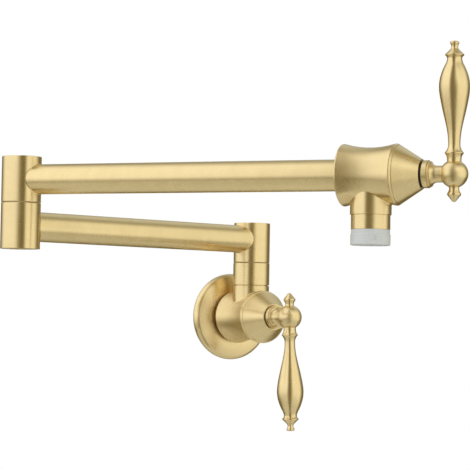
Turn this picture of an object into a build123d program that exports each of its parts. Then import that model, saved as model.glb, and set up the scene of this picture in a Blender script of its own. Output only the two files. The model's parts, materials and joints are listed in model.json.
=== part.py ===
from build123d import *
import os
from math import asin, cos, radians, sin, sqrt, tan

# A wall mounted pot filler: a quarter-turn valve on the wall, a folding arm of two tubes
# that swivels on the wall and at an elbow, and a second valve with a short spout at the tip.
#
# Millimetres, +Z up. The wall is the plane y = 0 and the tap stands out of it towards -Y.
# The origin is on the inlet's axis, in the middle of the flange's back.

# ---- driving dimensions -------------------------------------------------------------

WALL_TO_SWIVEL = 35.0       # wall to the vertical axis of the wall swivel
LOWER_ARM = 236.5           # wall swivel axis to elbow axis
UPPER_ARM = 271.5           # elbow axis to spout axis, longer so that the spout clears the stack
LOWER_HEADING = 192.4       # degrees from +X, as the tap stands at rest
UPPER_HEADING = -54.0
LOWER_ARM_Z = 62.7          # height of the arms' centre lines over the inlet's axis
UPPER_ARM_Z = 96.9

TUBE_R = 11.0
TUBE_BORE_R = 9.5
TUBE_SOCKET = 8.0           # depth of the socket in the outlet barrel that the tube is let into
HUB_R = 14.6
CAVITY_R = 11.6             # water space inside an arm hub
PORT_R = 7.5                # side port from a hub into its tube
ELBOW_HUB_HEIGHT = 33.6
ELBOW_HUB_FLOOR = 7.9       # solid bottom of the upper hub, which holds the elbow spindle
SLIP_GAP = 0.6              # height of the slip ring between two stack pieces
TOP_CAP_DEPTH = 3.0
BOTTOM_CAP_DEPTH = 1.9
EDGE = 0.5                  # radius or chamfer of the turned outer edges
SEAM = 0.3                  # small chamfer that draws the line where two pieces meet
BLEND = 1.2                 # fillet between a barrel and its boss

WALL_HUB_BOTTOM = 44.0
WALL_HUB_TOP = 76.0
WALL_HUB_FLOOR = 8.0
NUT_R = 14.7
BOSS_TOP = 25.1
NECK_TOP = 32.1
NECK_R = 12.0

# The two valves are alike. Their stations are measured forward from the vertical axis that
# crosses the barrel, along the axis that the handle turns on.
BARREL_REAR = -20.0
BARREL_FRONT = 18.8
BARREL_REAR_R = 21.4
BARREL_WAIST_R = 18.7
BARREL_FRONT_R = 21.15
CONE_END = 36.2
CONE_END_R = 10.5
BONNET_FRONT = 36.5
BALL_STATION = 58.8
BALL_R = 9.55
LEVER_FLAT = 8.2            # flats on the ball that the lever and the finial stand on
FINIAL_FLAT = 8.85
LEVER_REACH = 89.7          # ball centre to the tip of the lever
HANDLE_LEAN = 1.7           # degrees that a closed lever stands past plumb
FINIAL_REACH = 19.0

SPINDLE_BORE_R = 4.05
SPINDLE_R = 4.0
DISC_R = 6.95

BOSS_R = 14.25              # spout boss under the outlet barrel
BOSS_DROP = 27.4            # outlet axis to the bottom of the boss
SPOUT_RING_R = 13.5
SPOUT_RING_DROP = 37.4
AERATOR_NECK_R = 13.35
AERATOR_R = 13.75
AERATOR_DROP = 48.3
SPIGOT_R = 11.5
SPIGOT_DROP = 33.5          # outlet axis to the end of the boss's spigot inside the ring

FLANGE_R = 35.2
FLANGE_RIM = (32.4, 8.3)    # radius and depth where the rounded rim runs into the dome
FLANGE_CROWN = (18.0, 10.9)
FLANGE_NECK = 13.6
FLANGE_NECK_R = 14.85
THREAD_R = 10.48            # G 1/2 outside radius
THREAD_ROOT_R = 9.32
THREAD_PITCH = 1.814
THREAD_TURNS = 9
THREAD_LAND = 0.6
INLET_BORE_R = 6.5
COPE = 150.0                # length of the cutter that copes a tube to an upright hub


# ---- frames -------------------------------------------------------------------------

def heading(degrees):
    """Level unit vector at an angle from +X."""
    return Vector(cos(radians(degrees)), sin(radians(degrees)), 0)


def upright(point):
    """Frame that stands upright at a point."""
    return Plane(origin=point, x_dir=(1, 0, 0), z_dir=(0, 0, 1))


def turned_by(frame, degrees):
    """Frame turned about its own Z axis."""
    turn = radians(degrees)
    return Plane(
        origin=frame.origin,
        x_dir=frame.x_dir * cos(turn) + frame.y_dir * sin(turn),
        z_dir=frame.z_dir,
    )


def level(point, degrees):
    """Frame whose Z runs level along a heading, with Y up."""
    forward = heading(degrees)
    return Plane(origin=point, x_dir=Vector(0, 0, 1).cross(forward), z_dir=forward)


swivel_point = Vector(0, -WALL_TO_SWIVEL, 0)
elbow_point = swivel_point + heading(LOWER_HEADING) * LOWER_ARM
spout_point = elbow_point + heading(UPPER_HEADING) * UPPER_ARM

wall_stack = upright(swivel_point)
elbow_stack = upright(elbow_point)
spout_stack = upright(spout_point + Vector(0, 0, UPPER_ARM_Z))
wall_valve = level(swivel_point, -90)
outlet_valve = level(spout_point + Vector(0, 0, UPPER_ARM_Z), UPPER_HEADING)
wall_front = level(Vector(0, 0, 0), -90)

lower_hub_bottom = LOWER_ARM_Z - ELBOW_HUB_HEIGHT / 2
lower_hub_top = LOWER_ARM_Z + ELBOW_HUB_HEIGHT / 2
upper_hub_bottom = UPPER_ARM_Z - ELBOW_HUB_HEIGHT / 2
upper_hub_top = UPPER_ARM_Z + ELBOW_HUB_HEIGHT / 2


# ---- shop tools ---------------------------------------------------------------------

def section(start, steps):
    """Closed half section in radius and height. A step is a point, which a straight edge
    runs to, a pair of points, which an arc passes and ends at, or a list, which a smooth
    curve runs through, upright at both ends."""
    edges = []
    here = start
    for step in steps:
        if isinstance(step, list):
            there = step[-1]
            points = [(r, 0, h) for r, h in [here] + step]
            edges.append(Spline(*points, tangents=[(0, 0, 1), (0, 0, 1)]))
        elif isinstance(step[0], tuple):
            there = step[1]
            edges.append(ThreePointArc(*[(r, 0, h) for r, h in (here, step[0], there)]))
        else:
            there = step
            edges.append(Line((here[0], 0, here[1]), (there[0], 0, there[1])))
        here = there
    edges.append(Line((here[0], 0, here[1]), (start[0], 0, start[1])))
    return Face(Wire(edges))


def dome(radius, base, top):
    """Step of a section that closes it with a ball cap: an arc from a rim to the axis."""
    rise = top - base
    ball_r = (radius ** 2 + rise ** 2) / (2 * rise)
    half = asin(radius / ball_r) / 2
    return (ball_r * sin(half), top - ball_r * (1 - cos(half))), (0, top)


def turned(frame, start, *steps):
    """Solid of revolution about a frame's Z axis."""
    return frame.location * revolve(section(start, steps), Axis.Z)


def rod(frame, radius, low, high):
    """Plain cylinder on a frame's Z axis between two stations."""
    bar = Cylinder(radius, high - low, align=(Align.CENTER, Align.CENTER, Align.MIN))
    return frame.location * (Pos(0, 0, low) * bar)


def ring(frame, inner, outer, low, high):
    """Flat ring on a frame's Z axis between two stations."""
    return rod(frame, outer, low, high) - rod(frame, inner, low, high)


def cross_bar(frame, size, place):
    """Box in a frame, given by its sizes and its centre."""
    return frame.location * (Pos(*place) * Box(*size))


# ---- wall fitting -------------------------------------------------------------------

GASKET_IN = 27.5
GASKET_OUT = 31.5
GASKET_DEPTH = 1.4
FLANGE_FOOT_R = 33.0        # where the rounded rim leaves the wall
FLANGE_HOLLOW = ((15.0, 8.6), (18.0, 8.6), (22.5, 8.25), (26.5, 7.2))   # radii and depths inside it
NECK_BORE_R = 12.6
SHANK_R = 12.5
SHANK_START = 0.4           # the shank's shoulder stays just off the wall
FLANGE_SEAL = (9.0, 11.2)
SEAL_FLOOR_R = 11.3
SOCKET_R = 10.0
SOCKET_DEPTH = 9.0


def wall_flange():
    """Domed cover plate, hollow behind, with a rounded rim and a neck on the inlet shank."""
    corner, crown, *slope = FLANGE_HOLLOW
    return turned(
        wall_front,
        (NECK_BORE_R, 0),
        (corner[0], 0),
        corner,
        crown,
        tuple(slope),
        (slope[-1][0], 0),
        (GASKET_IN, 0),
        (GASKET_IN, GASKET_DEPTH),
        (GASKET_OUT, GASKET_DEPTH),
        (GASKET_OUT, 0),
        (FLANGE_FOOT_R, 0),
        ((FLANGE_R, 4.4), FLANGE_RIM),
        ((25.5, 10.2), FLANGE_CROWN),
        (FLANGE_NECK_R, FLANGE_CROWN[1]),
        (FLANGE_NECK_R, FLANGE_NECK - SEAM),
        (FLANGE_NECK_R - SEAM, FLANGE_NECK),
        (NECK_BORE_R, FLANGE_NECK),
    )


def wall_gasket():
    """Foam ring in the back of the flange that lies on the wall."""
    return ring(wall_front, GASKET_IN, GASKET_OUT, 0, GASKET_DEPTH)


def flange_seal():
    """O-ring on the inlet shank that grips the flange's neck."""
    return ring(wall_front, SEAL_FLOOR_R, NECK_BORE_R, *FLANGE_SEAL)


def inlet_connector():
    """Threaded nipple from the pipe in the wall into the valve body."""
    rear = WALL_TO_SWIVEL + BARREL_REAR
    flank = (THREAD_PITCH - 2 * THREAD_LAND) / 2
    steps = []
    for turn in range(THREAD_TURNS, 0, -1):
        foot = -turn * THREAD_PITCH
        steps.append((THREAD_ROOT_R, foot))
        steps.append((THREAD_R, foot + flank))
        steps.append((THREAD_R, foot + flank + THREAD_LAND))
        steps.append((THREAD_ROOT_R, foot + 2 * flank + THREAD_LAND))
    steps += [
        (THREAD_ROOT_R, SHANK_START),
        (SHANK_R - SEAM, SHANK_START),
        (SHANK_R, SHANK_START + SEAM),
        (SHANK_R, FLANGE_SEAL[0]),
        (SEAL_FLOOR_R, FLANGE_SEAL[0]),
        (SEAL_FLOOR_R, FLANGE_SEAL[1]),
        (SHANK_R, FLANGE_SEAL[1]),
        (SHANK_R, rear),
        (SOCKET_R, rear),
        (SOCKET_R, rear + SOCKET_DEPTH),
        (INLET_BORE_R, rear + SOCKET_DEPTH),
    ]
    return turned(wall_front, (INLET_BORE_R, -THREAD_TURNS * THREAD_PITCH), *steps)


# ---- valve, made twice --------------------------------------------------------------

SEAT = -6.0
SEAT_SEAL_BORE_R = 5.6
SEAL_TOP = -4.9
FIXED_DISC_TOP = -2.5
DISC_GAP = 0.05
MOVING_DISC_TOP = 0.05
DRIVER_TOP = 3.0
TONGUE = (10.0, 2.0, 2.0)   # key between the stem and the moving disc
WINDOW_R = (1.5, 5.4)       # a disc's water window, from and to
CHAMBER_R = 13.0
CHAMBER_REAR = -4.5
CHAMBER_END = 9.0
SHELL_R = 8.9
SHELL_BORE_R = 7.0
SHELL_BORE_END = 6.5
SIDE_WINDOW = (8.0, 5.0)    # width and length of the cartridge's side windows
SIDE_WINDOW_STATION = 3.4
CARTRIDGE_THREAD_R = 10.1
CARTRIDGE_THREAD_END = 16.0
HEX_R = 12.0
HEX_END = 21.0
COUNTERBORE_R = 12.1
BODY_SPIGOT_R = 15.0
BODY_SPIGOT_END = 23.5
STEM_NECK_R = 7.0
STEM_NECK_END = 35.9
BONNET_HOLLOW = ((24.0, 15.0), (25.0, 13.4), (33.4, 8.8))   # stations and radii inside it
BONNET_GROOVE = 1.6         # bead groove, from the cone's base
STEM_SEAL = (14.0, 15.8)
STEM_SEAL_FLOOR_R = 2.9
BODY_SEAL = (9.2, 10.8)
BODY_SEAL_FLOOR_R = 9.4
PORT_SPREAD = 40            # half angle of a disc's water window, degrees
SEAL_GAP = 0.02             # O-ring inside the bore that it seals
RUNNING_GAP = 0.1           # between parts that pass each other without guiding
DISC_GAP_R = 0.15           # moving disc and driver inside the cartridge's shell
HUB_REAR = 38.0
HUB_SPIGOT_R = 7.75
HUB_SPIGOT_REAR = 36.9
STEM_END = 50.6
SET_SCREW_STATION = 39.65
SET_SCREW_R = 1.25
SET_SCREW_REACH = 8.6       # stem's centre line to the screw's outer end
SET_SCREW_SOCKET = 1.6
SET_SCREW_HEX_R = 0.73
LEVER_STUD = (3.0, 4.5)     # radius and length
FINIAL_STUD = (2.0, 4.2)
CUT = 20.0                  # side of the boxes that cut the flats on the ball
HANDLE_SEAL_R = 0.62        # radius of the O-ring's section


def cone_radius(station):
    """Outside radius of the bonnet's cone at a station."""
    start = BARREL_FRONT + SEAM
    share = (station - start) / (CONE_END - start)
    return BARREL_FRONT_R + share * (CONE_END_R - BARREL_FRONT_R)


def barrel(frame):
    """Outside of the waisted barrel, with the spigot that the bonnet screws onto."""
    return turned(
        frame,
        (0, BODY_SPIGOT_END),
        (BODY_SPIGOT_R, BODY_SPIGOT_END),
        (BODY_SPIGOT_R, BARREL_FRONT),
        (BARREL_FRONT_R - SEAM, BARREL_FRONT),
        (BARREL_FRONT_R, BARREL_FRONT - SEAM),
        (BARREL_FRONT_R, BARREL_FRONT - 2 * SEAM),
        ((BARREL_WAIST_R, -0.3), (BARREL_REAR_R, -18.7)),
        ((BARREL_REAR_R - 0.15, -19.7), (BARREL_REAR_R - 0.8, BARREL_REAR)),
        (0, BARREL_REAR),
    )


def water_way(frame, socket_r, socket_depth):
    """Hollow of a barrel: socket, inlet, seat, chamber, cartridge thread and counterbore."""
    return turned(
        frame,
        (0, BARREL_REAR),
        (socket_r, BARREL_REAR),
        (socket_r, BARREL_REAR + socket_depth),
        (INLET_BORE_R, BARREL_REAR + socket_depth),
        (INLET_BORE_R, SEAT),
        (SHELL_R, SEAT),
        (SHELL_R, CHAMBER_REAR),
        (CHAMBER_R, CHAMBER_REAR),
        (CHAMBER_R, CHAMBER_END),
        (CARTRIDGE_THREAD_R, CHAMBER_END),
        (CARTRIDGE_THREAD_R, CARTRIDGE_THREAD_END),
        (COUNTERBORE_R, CARTRIDGE_THREAD_END),
        (COUNTERBORE_R, BODY_SPIGOT_END),
        (0, BODY_SPIGOT_END),
    )


def blended(barrel_part, boss):
    """Barrel and boss in one, with a fillet along the curve where they meet."""
    shape = barrel_part + boss
    meeting = [edge for edge in shape.edges() if edge.geom_type == GeomType.BSPLINE]
    return fillet(meeting, BLEND)


def bonnet(frame):
    """Hollow cone that covers the cartridge, with a fine bead groove near its base."""
    groove = BARREL_FRONT + BONNET_GROOVE
    width = 0.25
    return turned(
        frame,
        (BODY_SPIGOT_R, BARREL_FRONT),
        *[(radius, station) for station, radius in BONNET_HOLLOW],
        (STEM_NECK_R + RUNNING_GAP, BONNET_HOLLOW[-1][0]),
        (STEM_NECK_R + RUNNING_GAP, BONNET_FRONT),
        (CONE_END_R - 0.7, BONNET_FRONT),
        ((CONE_END_R - 0.2, BONNET_FRONT - 0.1), (CONE_END_R, CONE_END)),
        (cone_radius(groove + width), groove + width),
        (cone_radius(groove) - 0.4, groove),
        (cone_radius(groove - width), groove - width),
        (BARREL_FRONT_R, BARREL_FRONT + SEAM),
        (BARREL_FRONT_R - SEAM, BARREL_FRONT),
    )


def cartridge(frame):
    """Headwork with a hexagon, side windows and a bore for the stem."""
    shell = turned(
        frame,
        (SHELL_BORE_R, SEAL_TOP),
        (SHELL_BORE_R, SHELL_BORE_END),
        (SPINDLE_BORE_R, SHELL_BORE_END),
        (SPINDLE_BORE_R, STEM_NECK_END),
        (STEM_NECK_R, STEM_NECK_END),
        (STEM_NECK_R, CARTRIDGE_THREAD_END),
        (CARTRIDGE_THREAD_R, CARTRIDGE_THREAD_END),
        (CARTRIDGE_THREAD_R, BODY_SEAL[1]),
        (BODY_SEAL_FLOOR_R, BODY_SEAL[1]),
        (BODY_SEAL_FLOOR_R, BODY_SEAL[0]),
        (SHELL_R, BODY_SEAL[0]),
        (SHELL_R, SEAL_TOP),
    )
    hexagon = extrude(RegularPolygon(HEX_R, 6), HEX_END - CARTRIDGE_THREAD_END)
    hexagon = frame.location * (Pos(0, 0, CARTRIDGE_THREAD_END) * hexagon)
    hexagon -= rod(frame, STEM_NECK_R - 0.5, 0, HEX_END + 1)
    window = cross_bar(frame, (3 * SHELL_R, *SIDE_WINDOW), (0, 0, SIDE_WINDOW_STATION))
    return shell + hexagon - window


def seat_seal(frame):
    """Rubber seat between the body and the fixed disc."""
    return ring(frame, SEAT_SEAL_BORE_R, SHELL_R - RUNNING_GAP, SEAT, SEAL_TOP)


def cartridge_seal(frame):
    """O-ring under the cartridge's thread."""
    return ring(frame, BODY_SEAL_FLOOR_R, CARTRIDGE_THREAD_R, *BODY_SEAL)


def disc_windows(low, high):
    """Two opposite water windows of a ceramic disc, as cutters."""
    reach = 2 * DISC_R
    across = reach * tan(radians(PORT_SPREAD))
    wedge = Polygon((0, 0), (reach, across), (reach, -across), align=None)
    kidney = (Circle(WINDOW_R[1]) - Circle(WINDOW_R[0])) & wedge
    pair = kidney + Rot(0, 0, 180) * kidney
    return Pos(0, 0, low) * extrude(pair, high - low)


def fixed_disc(frame):
    """Ceramic disc that the water enters through."""
    plate = rod(Plane.XY, DISC_R, SEAL_TOP, FIXED_DISC_TOP)
    return frame.location * (plate - disc_windows(SEAL_TOP, FIXED_DISC_TOP))


def moving_disc(frame):
    """Ceramic disc that turns with the handle, closed at rest, slotted for the stem."""
    low = FIXED_DISC_TOP + DISC_GAP
    plate = rod(Plane.XY, DISC_R - DISC_GAP_R, low, MOVING_DISC_TOP)
    plate -= Rot(0, 0, 90) * disc_windows(low, MOVING_DISC_TOP)
    plate -= Pos(0, 0, MOVING_DISC_TOP) * Box(*TONGUE)
    return frame.location * plate


def stem(frame):
    """Valve stem: a driver with a tongue in the moving disc, a seal groove and the shaft."""
    shaft = turned(
        Plane.XY,
        (0, MOVING_DISC_TOP),
        (DISC_R - DISC_GAP_R, MOVING_DISC_TOP),
        (DISC_R - DISC_GAP_R, DRIVER_TOP),
        (SPINDLE_R, DRIVER_TOP),
        (SPINDLE_R, STEM_SEAL[0]),
        (STEM_SEAL_FLOOR_R, STEM_SEAL[0]),
        (STEM_SEAL_FLOOR_R, STEM_SEAL[1]),
        (SPINDLE_R, STEM_SEAL[1]),
        (SPINDLE_R, STEM_END - SEAM),
        (SPINDLE_R - SEAM, STEM_END),
        (0, STEM_END),
    )
    shaft -= Rot(0, 0, 90) * disc_windows(MOVING_DISC_TOP, DRIVER_TOP)
    shaft += Pos(0, 0, MOVING_DISC_TOP) * Box(*TONGUE)
    return frame.location * shaft


def stem_seal(frame):
    """O-ring in the stem's groove."""
    return ring(frame, STEM_SEAL_FLOOR_R, SPINDLE_BORE_R - SEAL_GAP, *STEM_SEAL)


def handle_seal(frame):
    """Black O-ring between the bonnet and the handle, on the hub's rear spigot."""
    loop = Torus(HUB_SPIGOT_R + HANDLE_SEAL_R, HANDLE_SEAL_R)
    return frame.location * (Pos(0, 0, HUB_REAR - HANDLE_SEAL_R) * loop)


def handle_hub(frame):
    """Stepped collar, neck and ball, bored for the stem and tapped for lever and finial."""
    neck_r = 5.7
    hub = turned(
        Plane.XY,
        (0, HUB_SPIGOT_REAR),
        (HUB_SPIGOT_R, HUB_SPIGOT_REAR),
        (HUB_SPIGOT_R, HUB_REAR),
        (9.2, HUB_REAR),
        ((9.42, HUB_REAR + 0.1), (9.5, HUB_REAR + 0.35)),
        (9.5, 41.0),
        ((9.4, 41.3), (9.0, 41.4)),
        (8.5, 41.5),
        (8.8, 41.9),
        (8.8, 42.6),
        (8.3, 43.0),
        (7.7, 43.2),
        ((6.3, 44.9), (neck_r, 47.2)),
        (neck_r, BALL_STATION - BALL_R / 2),
        (0, BALL_STATION - BALL_R / 2),
    )
    ball_middle = Pos(0, 0, BALL_STATION)
    hub += ball_middle * (Rot(90, 0, 0) * Sphere(BALL_R))
    hub -= rod(Plane.XY, SPINDLE_R, HUB_SPIGOT_REAR, STEM_END)
    for side, flat, stud in ((1, LEVER_FLAT, LEVER_STUD), (-1, FINIAL_FLAT, FINIAL_STUD)):
        hub -= ball_middle * (Pos(0, side * (flat + CUT / 2), 0) * Box(CUT, CUT, CUT))
        tapped = Rot(90, 0, 0) * Cylinder(*stud)
        hub -= ball_middle * (Pos(0, side * (flat - stud[1] / 2), 0) * tapped)
    side_hole = rod(Plane.XY, SET_SCREW_R, 0, SET_SCREW_REACH + BALL_R)
    hub -= Pos(0, 0, SET_SCREW_STATION) * (Rot(90, 0, 0) * side_hole)
    return frame.location * hub


def set_screw(frame):
    """Socket screw that locks the hub on the stem, on the finial's side."""
    socket = extrude(RegularPolygon(SET_SCREW_HEX_R, 6), SET_SCREW_SOCKET, both=True)
    screw = rod(Plane.XY, SET_SCREW_R, SPINDLE_R, SET_SCREW_REACH) - Pos(0, 0, SET_SCREW_REACH) * socket
    return frame.location * (Pos(0, 0, SET_SCREW_STATION) * Rot(90, 0, 0) * screw)


def ball_frame(frame, side):
    """Frame at the ball's centre whose Z points along the lever, or the finial."""
    up = frame.y_dir * side
    return Plane(origin=frame.origin + frame.z_dir * BALL_STATION, x_dir=frame.x_dir, z_dir=up)


def lever(frame):
    """Turned baluster lever: foot, sharp bead, slim neck, belly, second bead and tip."""
    return turned(
        ball_frame(frame, 1),
        (0, LEVER_FLAT - LEVER_STUD[1]),
        (LEVER_STUD[0], LEVER_FLAT - LEVER_STUD[1]),
        (LEVER_STUD[0], LEVER_FLAT),
        (4.9, LEVER_FLAT),
        (4.9, 9.6),
        ((5.05, 11.3), (5.5, 12.6)),
        (6.45, 13.9),
        (6.4, 14.3),
        ((5.0, 16.2), (4.1, 20.0)),
        [(4.8, 28.4), (7.4, 40.3), (9.65, 51.0), (10.5, 59.5), (8.98, 67.6), (6.85, 72.7), (5.1, 77.6)],
        ((5.25, 78.5), (5.65, 79.1)),
        (6.55, 80.0),
        (6.5, 80.4),
        (2.7, 84.2),
        ((2.3, 85.6), (2.7, 87.3)),
        ((3.1, 88.6), (2.5, LEVER_REACH - 0.35)),
        dome(2.5, LEVER_REACH - 0.35, LEVER_REACH),
    )


def finial(frame):
    """Acorn finial opposite the lever."""
    return turned(
        ball_frame(frame, -1),
        (0, FINIAL_FLAT - FINIAL_STUD[1]),
        (FINIAL_STUD[0], FINIAL_FLAT - FINIAL_STUD[1]),
        (FINIAL_STUD[0], FINIAL_FLAT),
        (3.6, FINIAL_FLAT),
        ((3.4, 10.1), (3.75, 11.6)),
        (4.6, 13.1),
        ((4.78, 13.8), (4.6, 14.4)),
        ((3.0, 16.3), (1.4, 18.4)),
        dome(1.4, 18.4, FINIAL_REACH),
    )


# ---- valve bodies -------------------------------------------------------------------

JOURNAL_BORE_R = 7.6        # bore of the wall boss that the swivel spindle turns in
JOURNAL_R = 7.55
SHOULDER_SEAT = 27.0
SHOULDER_BORE_R = 10.3
WASHER = 1.0
WASHER_GAP = 0.2
SWIVEL_GAP = 0.05
SLIP_RING_R = 14.25
SPOUT_BORE_R = 8.0


def wall_valve_body():
    """Barrel with an upright boss and a threaded neck for the swivel nut."""
    boss = turned(
        wall_stack,
        (0, 0),
        (HUB_R, 0),
        (HUB_R, BOSS_TOP - SEAM),
        (HUB_R - SEAM, BOSS_TOP),
        (NECK_R, BOSS_TOP),
        (NECK_R, NECK_TOP),
        (0, NECK_TOP),
    )
    body = blended(barrel(wall_valve), boss) - water_way(wall_valve, SOCKET_R, SOCKET_DEPTH)
    body -= rod(wall_stack, JOURNAL_BORE_R, 0, SHOULDER_SEAT)
    return body - rod(wall_stack, SHOULDER_BORE_R, SHOULDER_SEAT, NECK_TOP)


def outlet_valve_body():
    """Barrel with a boss below it that carries the spout."""
    boss = turned(
        spout_stack,
        (0, 0),
        (BOSS_R, 0),
        (BOSS_R, -BOSS_DROP + EDGE),
        (BOSS_R - EDGE, -BOSS_DROP),
        (SPIGOT_R, -BOSS_DROP),
        (SPIGOT_R, -SPIGOT_DROP),
        (0, -SPIGOT_DROP),
    )
    body = blended(barrel(outlet_valve), boss) - water_way(outlet_valve, TUBE_R, TUBE_SOCKET)
    return body - rod(spout_stack, SPOUT_BORE_R, -SPIGOT_DROP, 0)


# ---- wall swivel --------------------------------------------------------------------

SPINDLE_FOOT = 14.0
SHOULDER_R = 10.15
SHOULDER = 3.0
PIN_R = 8.0
PIN_BORE_R = 5.0
SWIVEL_GROOVES = (16.4, 21.4)
GROOVE = 2.0
SWIVEL_GROOVE_R = 6.2
shoulder_low = SHOULDER_SEAT + WASHER + SWIVEL_GAP
shoulder_high = shoulder_low + SHOULDER
upper_washer_low = shoulder_high + SWIVEL_GAP


def swivel_nut():
    """Tall collar nut on the boss's neck that keeps the swivel spindle in."""
    return turned(
        wall_stack,
        (NECK_R, BOSS_TOP),
        (NECK_R, NECK_TOP),
        (PIN_R + RUNNING_GAP, NECK_TOP),
        (PIN_R + RUNNING_GAP, WALL_HUB_BOTTOM - SLIP_GAP),
        (NUT_R - SEAM, WALL_HUB_BOTTOM - SLIP_GAP),
        (NUT_R, WALL_HUB_BOTTOM - SLIP_GAP - SEAM),
        (NUT_R, BOSS_TOP + SEAM),
        (NUT_R - SEAM, BOSS_TOP),
    )


def swivel_spindle():
    """Hollow spindle screwed into the arm's hub, with a shoulder held by the nut."""
    steps = [(PIN_BORE_R, WALL_HUB_BOTTOM + WALL_HUB_FLOOR), (PIN_R, WALL_HUB_BOTTOM + WALL_HUB_FLOOR)]
    steps += [(PIN_R, shoulder_high), (SHOULDER_R, shoulder_high), (SHOULDER_R, shoulder_low)]
    steps.append((JOURNAL_R, shoulder_low))
    for low in reversed(SWIVEL_GROOVES):
        steps.append((JOURNAL_R, low + GROOVE))
        steps.append((SWIVEL_GROOVE_R, low + GROOVE))
        steps.append((SWIVEL_GROOVE_R, low))
        steps.append((JOURNAL_R, low))
    steps.append((JOURNAL_R, SPINDLE_FOOT))
    return turned(wall_stack, (PIN_BORE_R, SPINDLE_FOOT), *steps)


def swivel_o_rings():
    """Two O-rings on the swivel spindle."""
    rings = [
        ring(wall_stack, SWIVEL_GROOVE_R, JOURNAL_BORE_R - SEAL_GAP, low, low + GROOVE)
        for low in SWIVEL_GROOVES
    ]
    return Part() + rings


def swivel_washers():
    """Thrust washers below and above the spindle's shoulder."""
    low = ring(wall_stack, JOURNAL_R + WASHER_GAP, SHOULDER_BORE_R, SHOULDER_SEAT, SHOULDER_SEAT + WASHER)
    high = ring(wall_stack, PIN_R + WASHER_GAP, SHOULDER_BORE_R, upper_washer_low, NECK_TOP)
    return Part() + [low, high]


def slip_ring(frame, inner, top):
    """Thin plastic ring that two stack pieces slide on."""
    return ring(frame, inner, SLIP_RING_R, top - SLIP_GAP + SWIVEL_GAP, top)


# ---- arms ---------------------------------------------------------------------------

def hub_shell(frame, low, high, steps):
    """Arm hub: a turned sleeve with eased outer edges around the given inner steps."""
    outside = [(HUB_R - EDGE, high), (HUB_R, high - EDGE), (HUB_R, low + SEAM), (HUB_R - SEAM, low)]
    return turned(frame, steps[0], *steps[1:], *outside)


def port(frame, z, degrees):
    """Cutter for the side port from a hub into its tube."""
    side = level(frame.origin + Vector(0, 0, z), degrees)
    return rod(side, PORT_R, 0, HUB_R + 2)


def wall_hub():
    """Hub of the lower arm over the wall swivel."""
    floor = WALL_HUB_BOTTOM + WALL_HUB_FLOOR
    steps = [(PIN_R, WALL_HUB_BOTTOM), (PIN_R, floor), (CAVITY_R, floor), (CAVITY_R, WALL_HUB_TOP)]
    hub = hub_shell(wall_stack, WALL_HUB_BOTTOM, WALL_HUB_TOP, steps)
    return hub - port(wall_stack, LOWER_ARM_Z, LOWER_HEADING)


ELBOW_JOURNAL_R = 8.95
ELBOW_BORE_R = 9.0
ELBOW_PASSAGE_R = 6.0
CHAMBER_LOW = 55.0
CHAMBER_HIGH = 70.4
CLIP_SHELF = 50.5
CLIP = (49.05, 50.15)
CLIP_FLOOR_R = 7.9
CLIP_R = 11.0
CLIP_OPENING = 5.0
SPINDLE_TIP = 48.3
CROSS_HOLE_R = 4.2
ELBOW_GROOVES = (51.8, 72.4, 76.2)
ELBOW_GROOVE = 1.8
ELBOW_GROOVE_R = 7.3
elbow_spindle_top = upper_hub_bottom + ELBOW_HUB_FLOOR


def lower_elbow_hub():
    """Hub at the lower arm's end, with two journals and a water chamber between them."""
    steps = [
        (CAVITY_R, lower_hub_bottom),
        (CAVITY_R, CLIP_SHELF),
        (ELBOW_BORE_R, CLIP_SHELF),
        (ELBOW_BORE_R, CHAMBER_LOW),
        (CAVITY_R, CHAMBER_LOW),
        (CAVITY_R, CHAMBER_HIGH),
        (ELBOW_BORE_R, CHAMBER_HIGH),
        (ELBOW_BORE_R, lower_hub_top),
    ]
    hub = hub_shell(elbow_stack, lower_hub_bottom, lower_hub_top, steps)
    return hub - port(elbow_stack, LOWER_ARM_Z, LOWER_HEADING + 180)


def upper_elbow_hub():
    """Hub at the upper arm's start, which the elbow spindle is fixed in."""
    steps = [
        (ELBOW_JOURNAL_R, upper_hub_bottom),
        (ELBOW_JOURNAL_R, elbow_spindle_top),
        (CAVITY_R, elbow_spindle_top),
        (CAVITY_R, upper_hub_top),
    ]
    hub = hub_shell(elbow_stack, upper_hub_bottom, upper_hub_top, steps)
    return hub - port(elbow_stack, UPPER_ARM_Z, UPPER_HEADING)


def elbow_spindle():
    """Hollow elbow pivot with cross holes, three seal grooves and a clip groove."""
    steps = [
        (ELBOW_PASSAGE_R, elbow_spindle_top),
        (ELBOW_JOURNAL_R, elbow_spindle_top),
    ]
    for low in reversed(ELBOW_GROOVES):
        steps.append((ELBOW_JOURNAL_R, low + ELBOW_GROOVE))
        steps.append((ELBOW_GROOVE_R, low + ELBOW_GROOVE))
        steps.append((ELBOW_GROOVE_R, low))
        steps.append((ELBOW_JOURNAL_R, low))
    steps += [
        (ELBOW_JOURNAL_R, CLIP[1]),
        (CLIP_FLOOR_R, CLIP[1]),
        (CLIP_FLOOR_R, CLIP[0]),
        (ELBOW_JOURNAL_R, CLIP[0]),
        (ELBOW_JOURNAL_R, SPINDLE_TIP),
        (0, SPINDLE_TIP),
        (0, CHAMBER_LOW),
    ]
    spindle = turned(elbow_stack, (ELBOW_PASSAGE_R, CHAMBER_LOW), *steps)
    for degrees in (0, 90):
        side = level(elbow_stack.origin + Vector(0, 0, LOWER_ARM_Z), degrees)
        spindle -= rod(side, CROSS_HOLE_R, -HUB_R, HUB_R)
    return spindle


def elbow_o_rings():
    """Three O-rings on the elbow spindle."""
    rings = [
        ring(elbow_stack, ELBOW_GROOVE_R, ELBOW_BORE_R - SEAL_GAP, low, low + ELBOW_GROOVE)
        for low in ELBOW_GROOVES
    ]
    return Part() + rings


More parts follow.
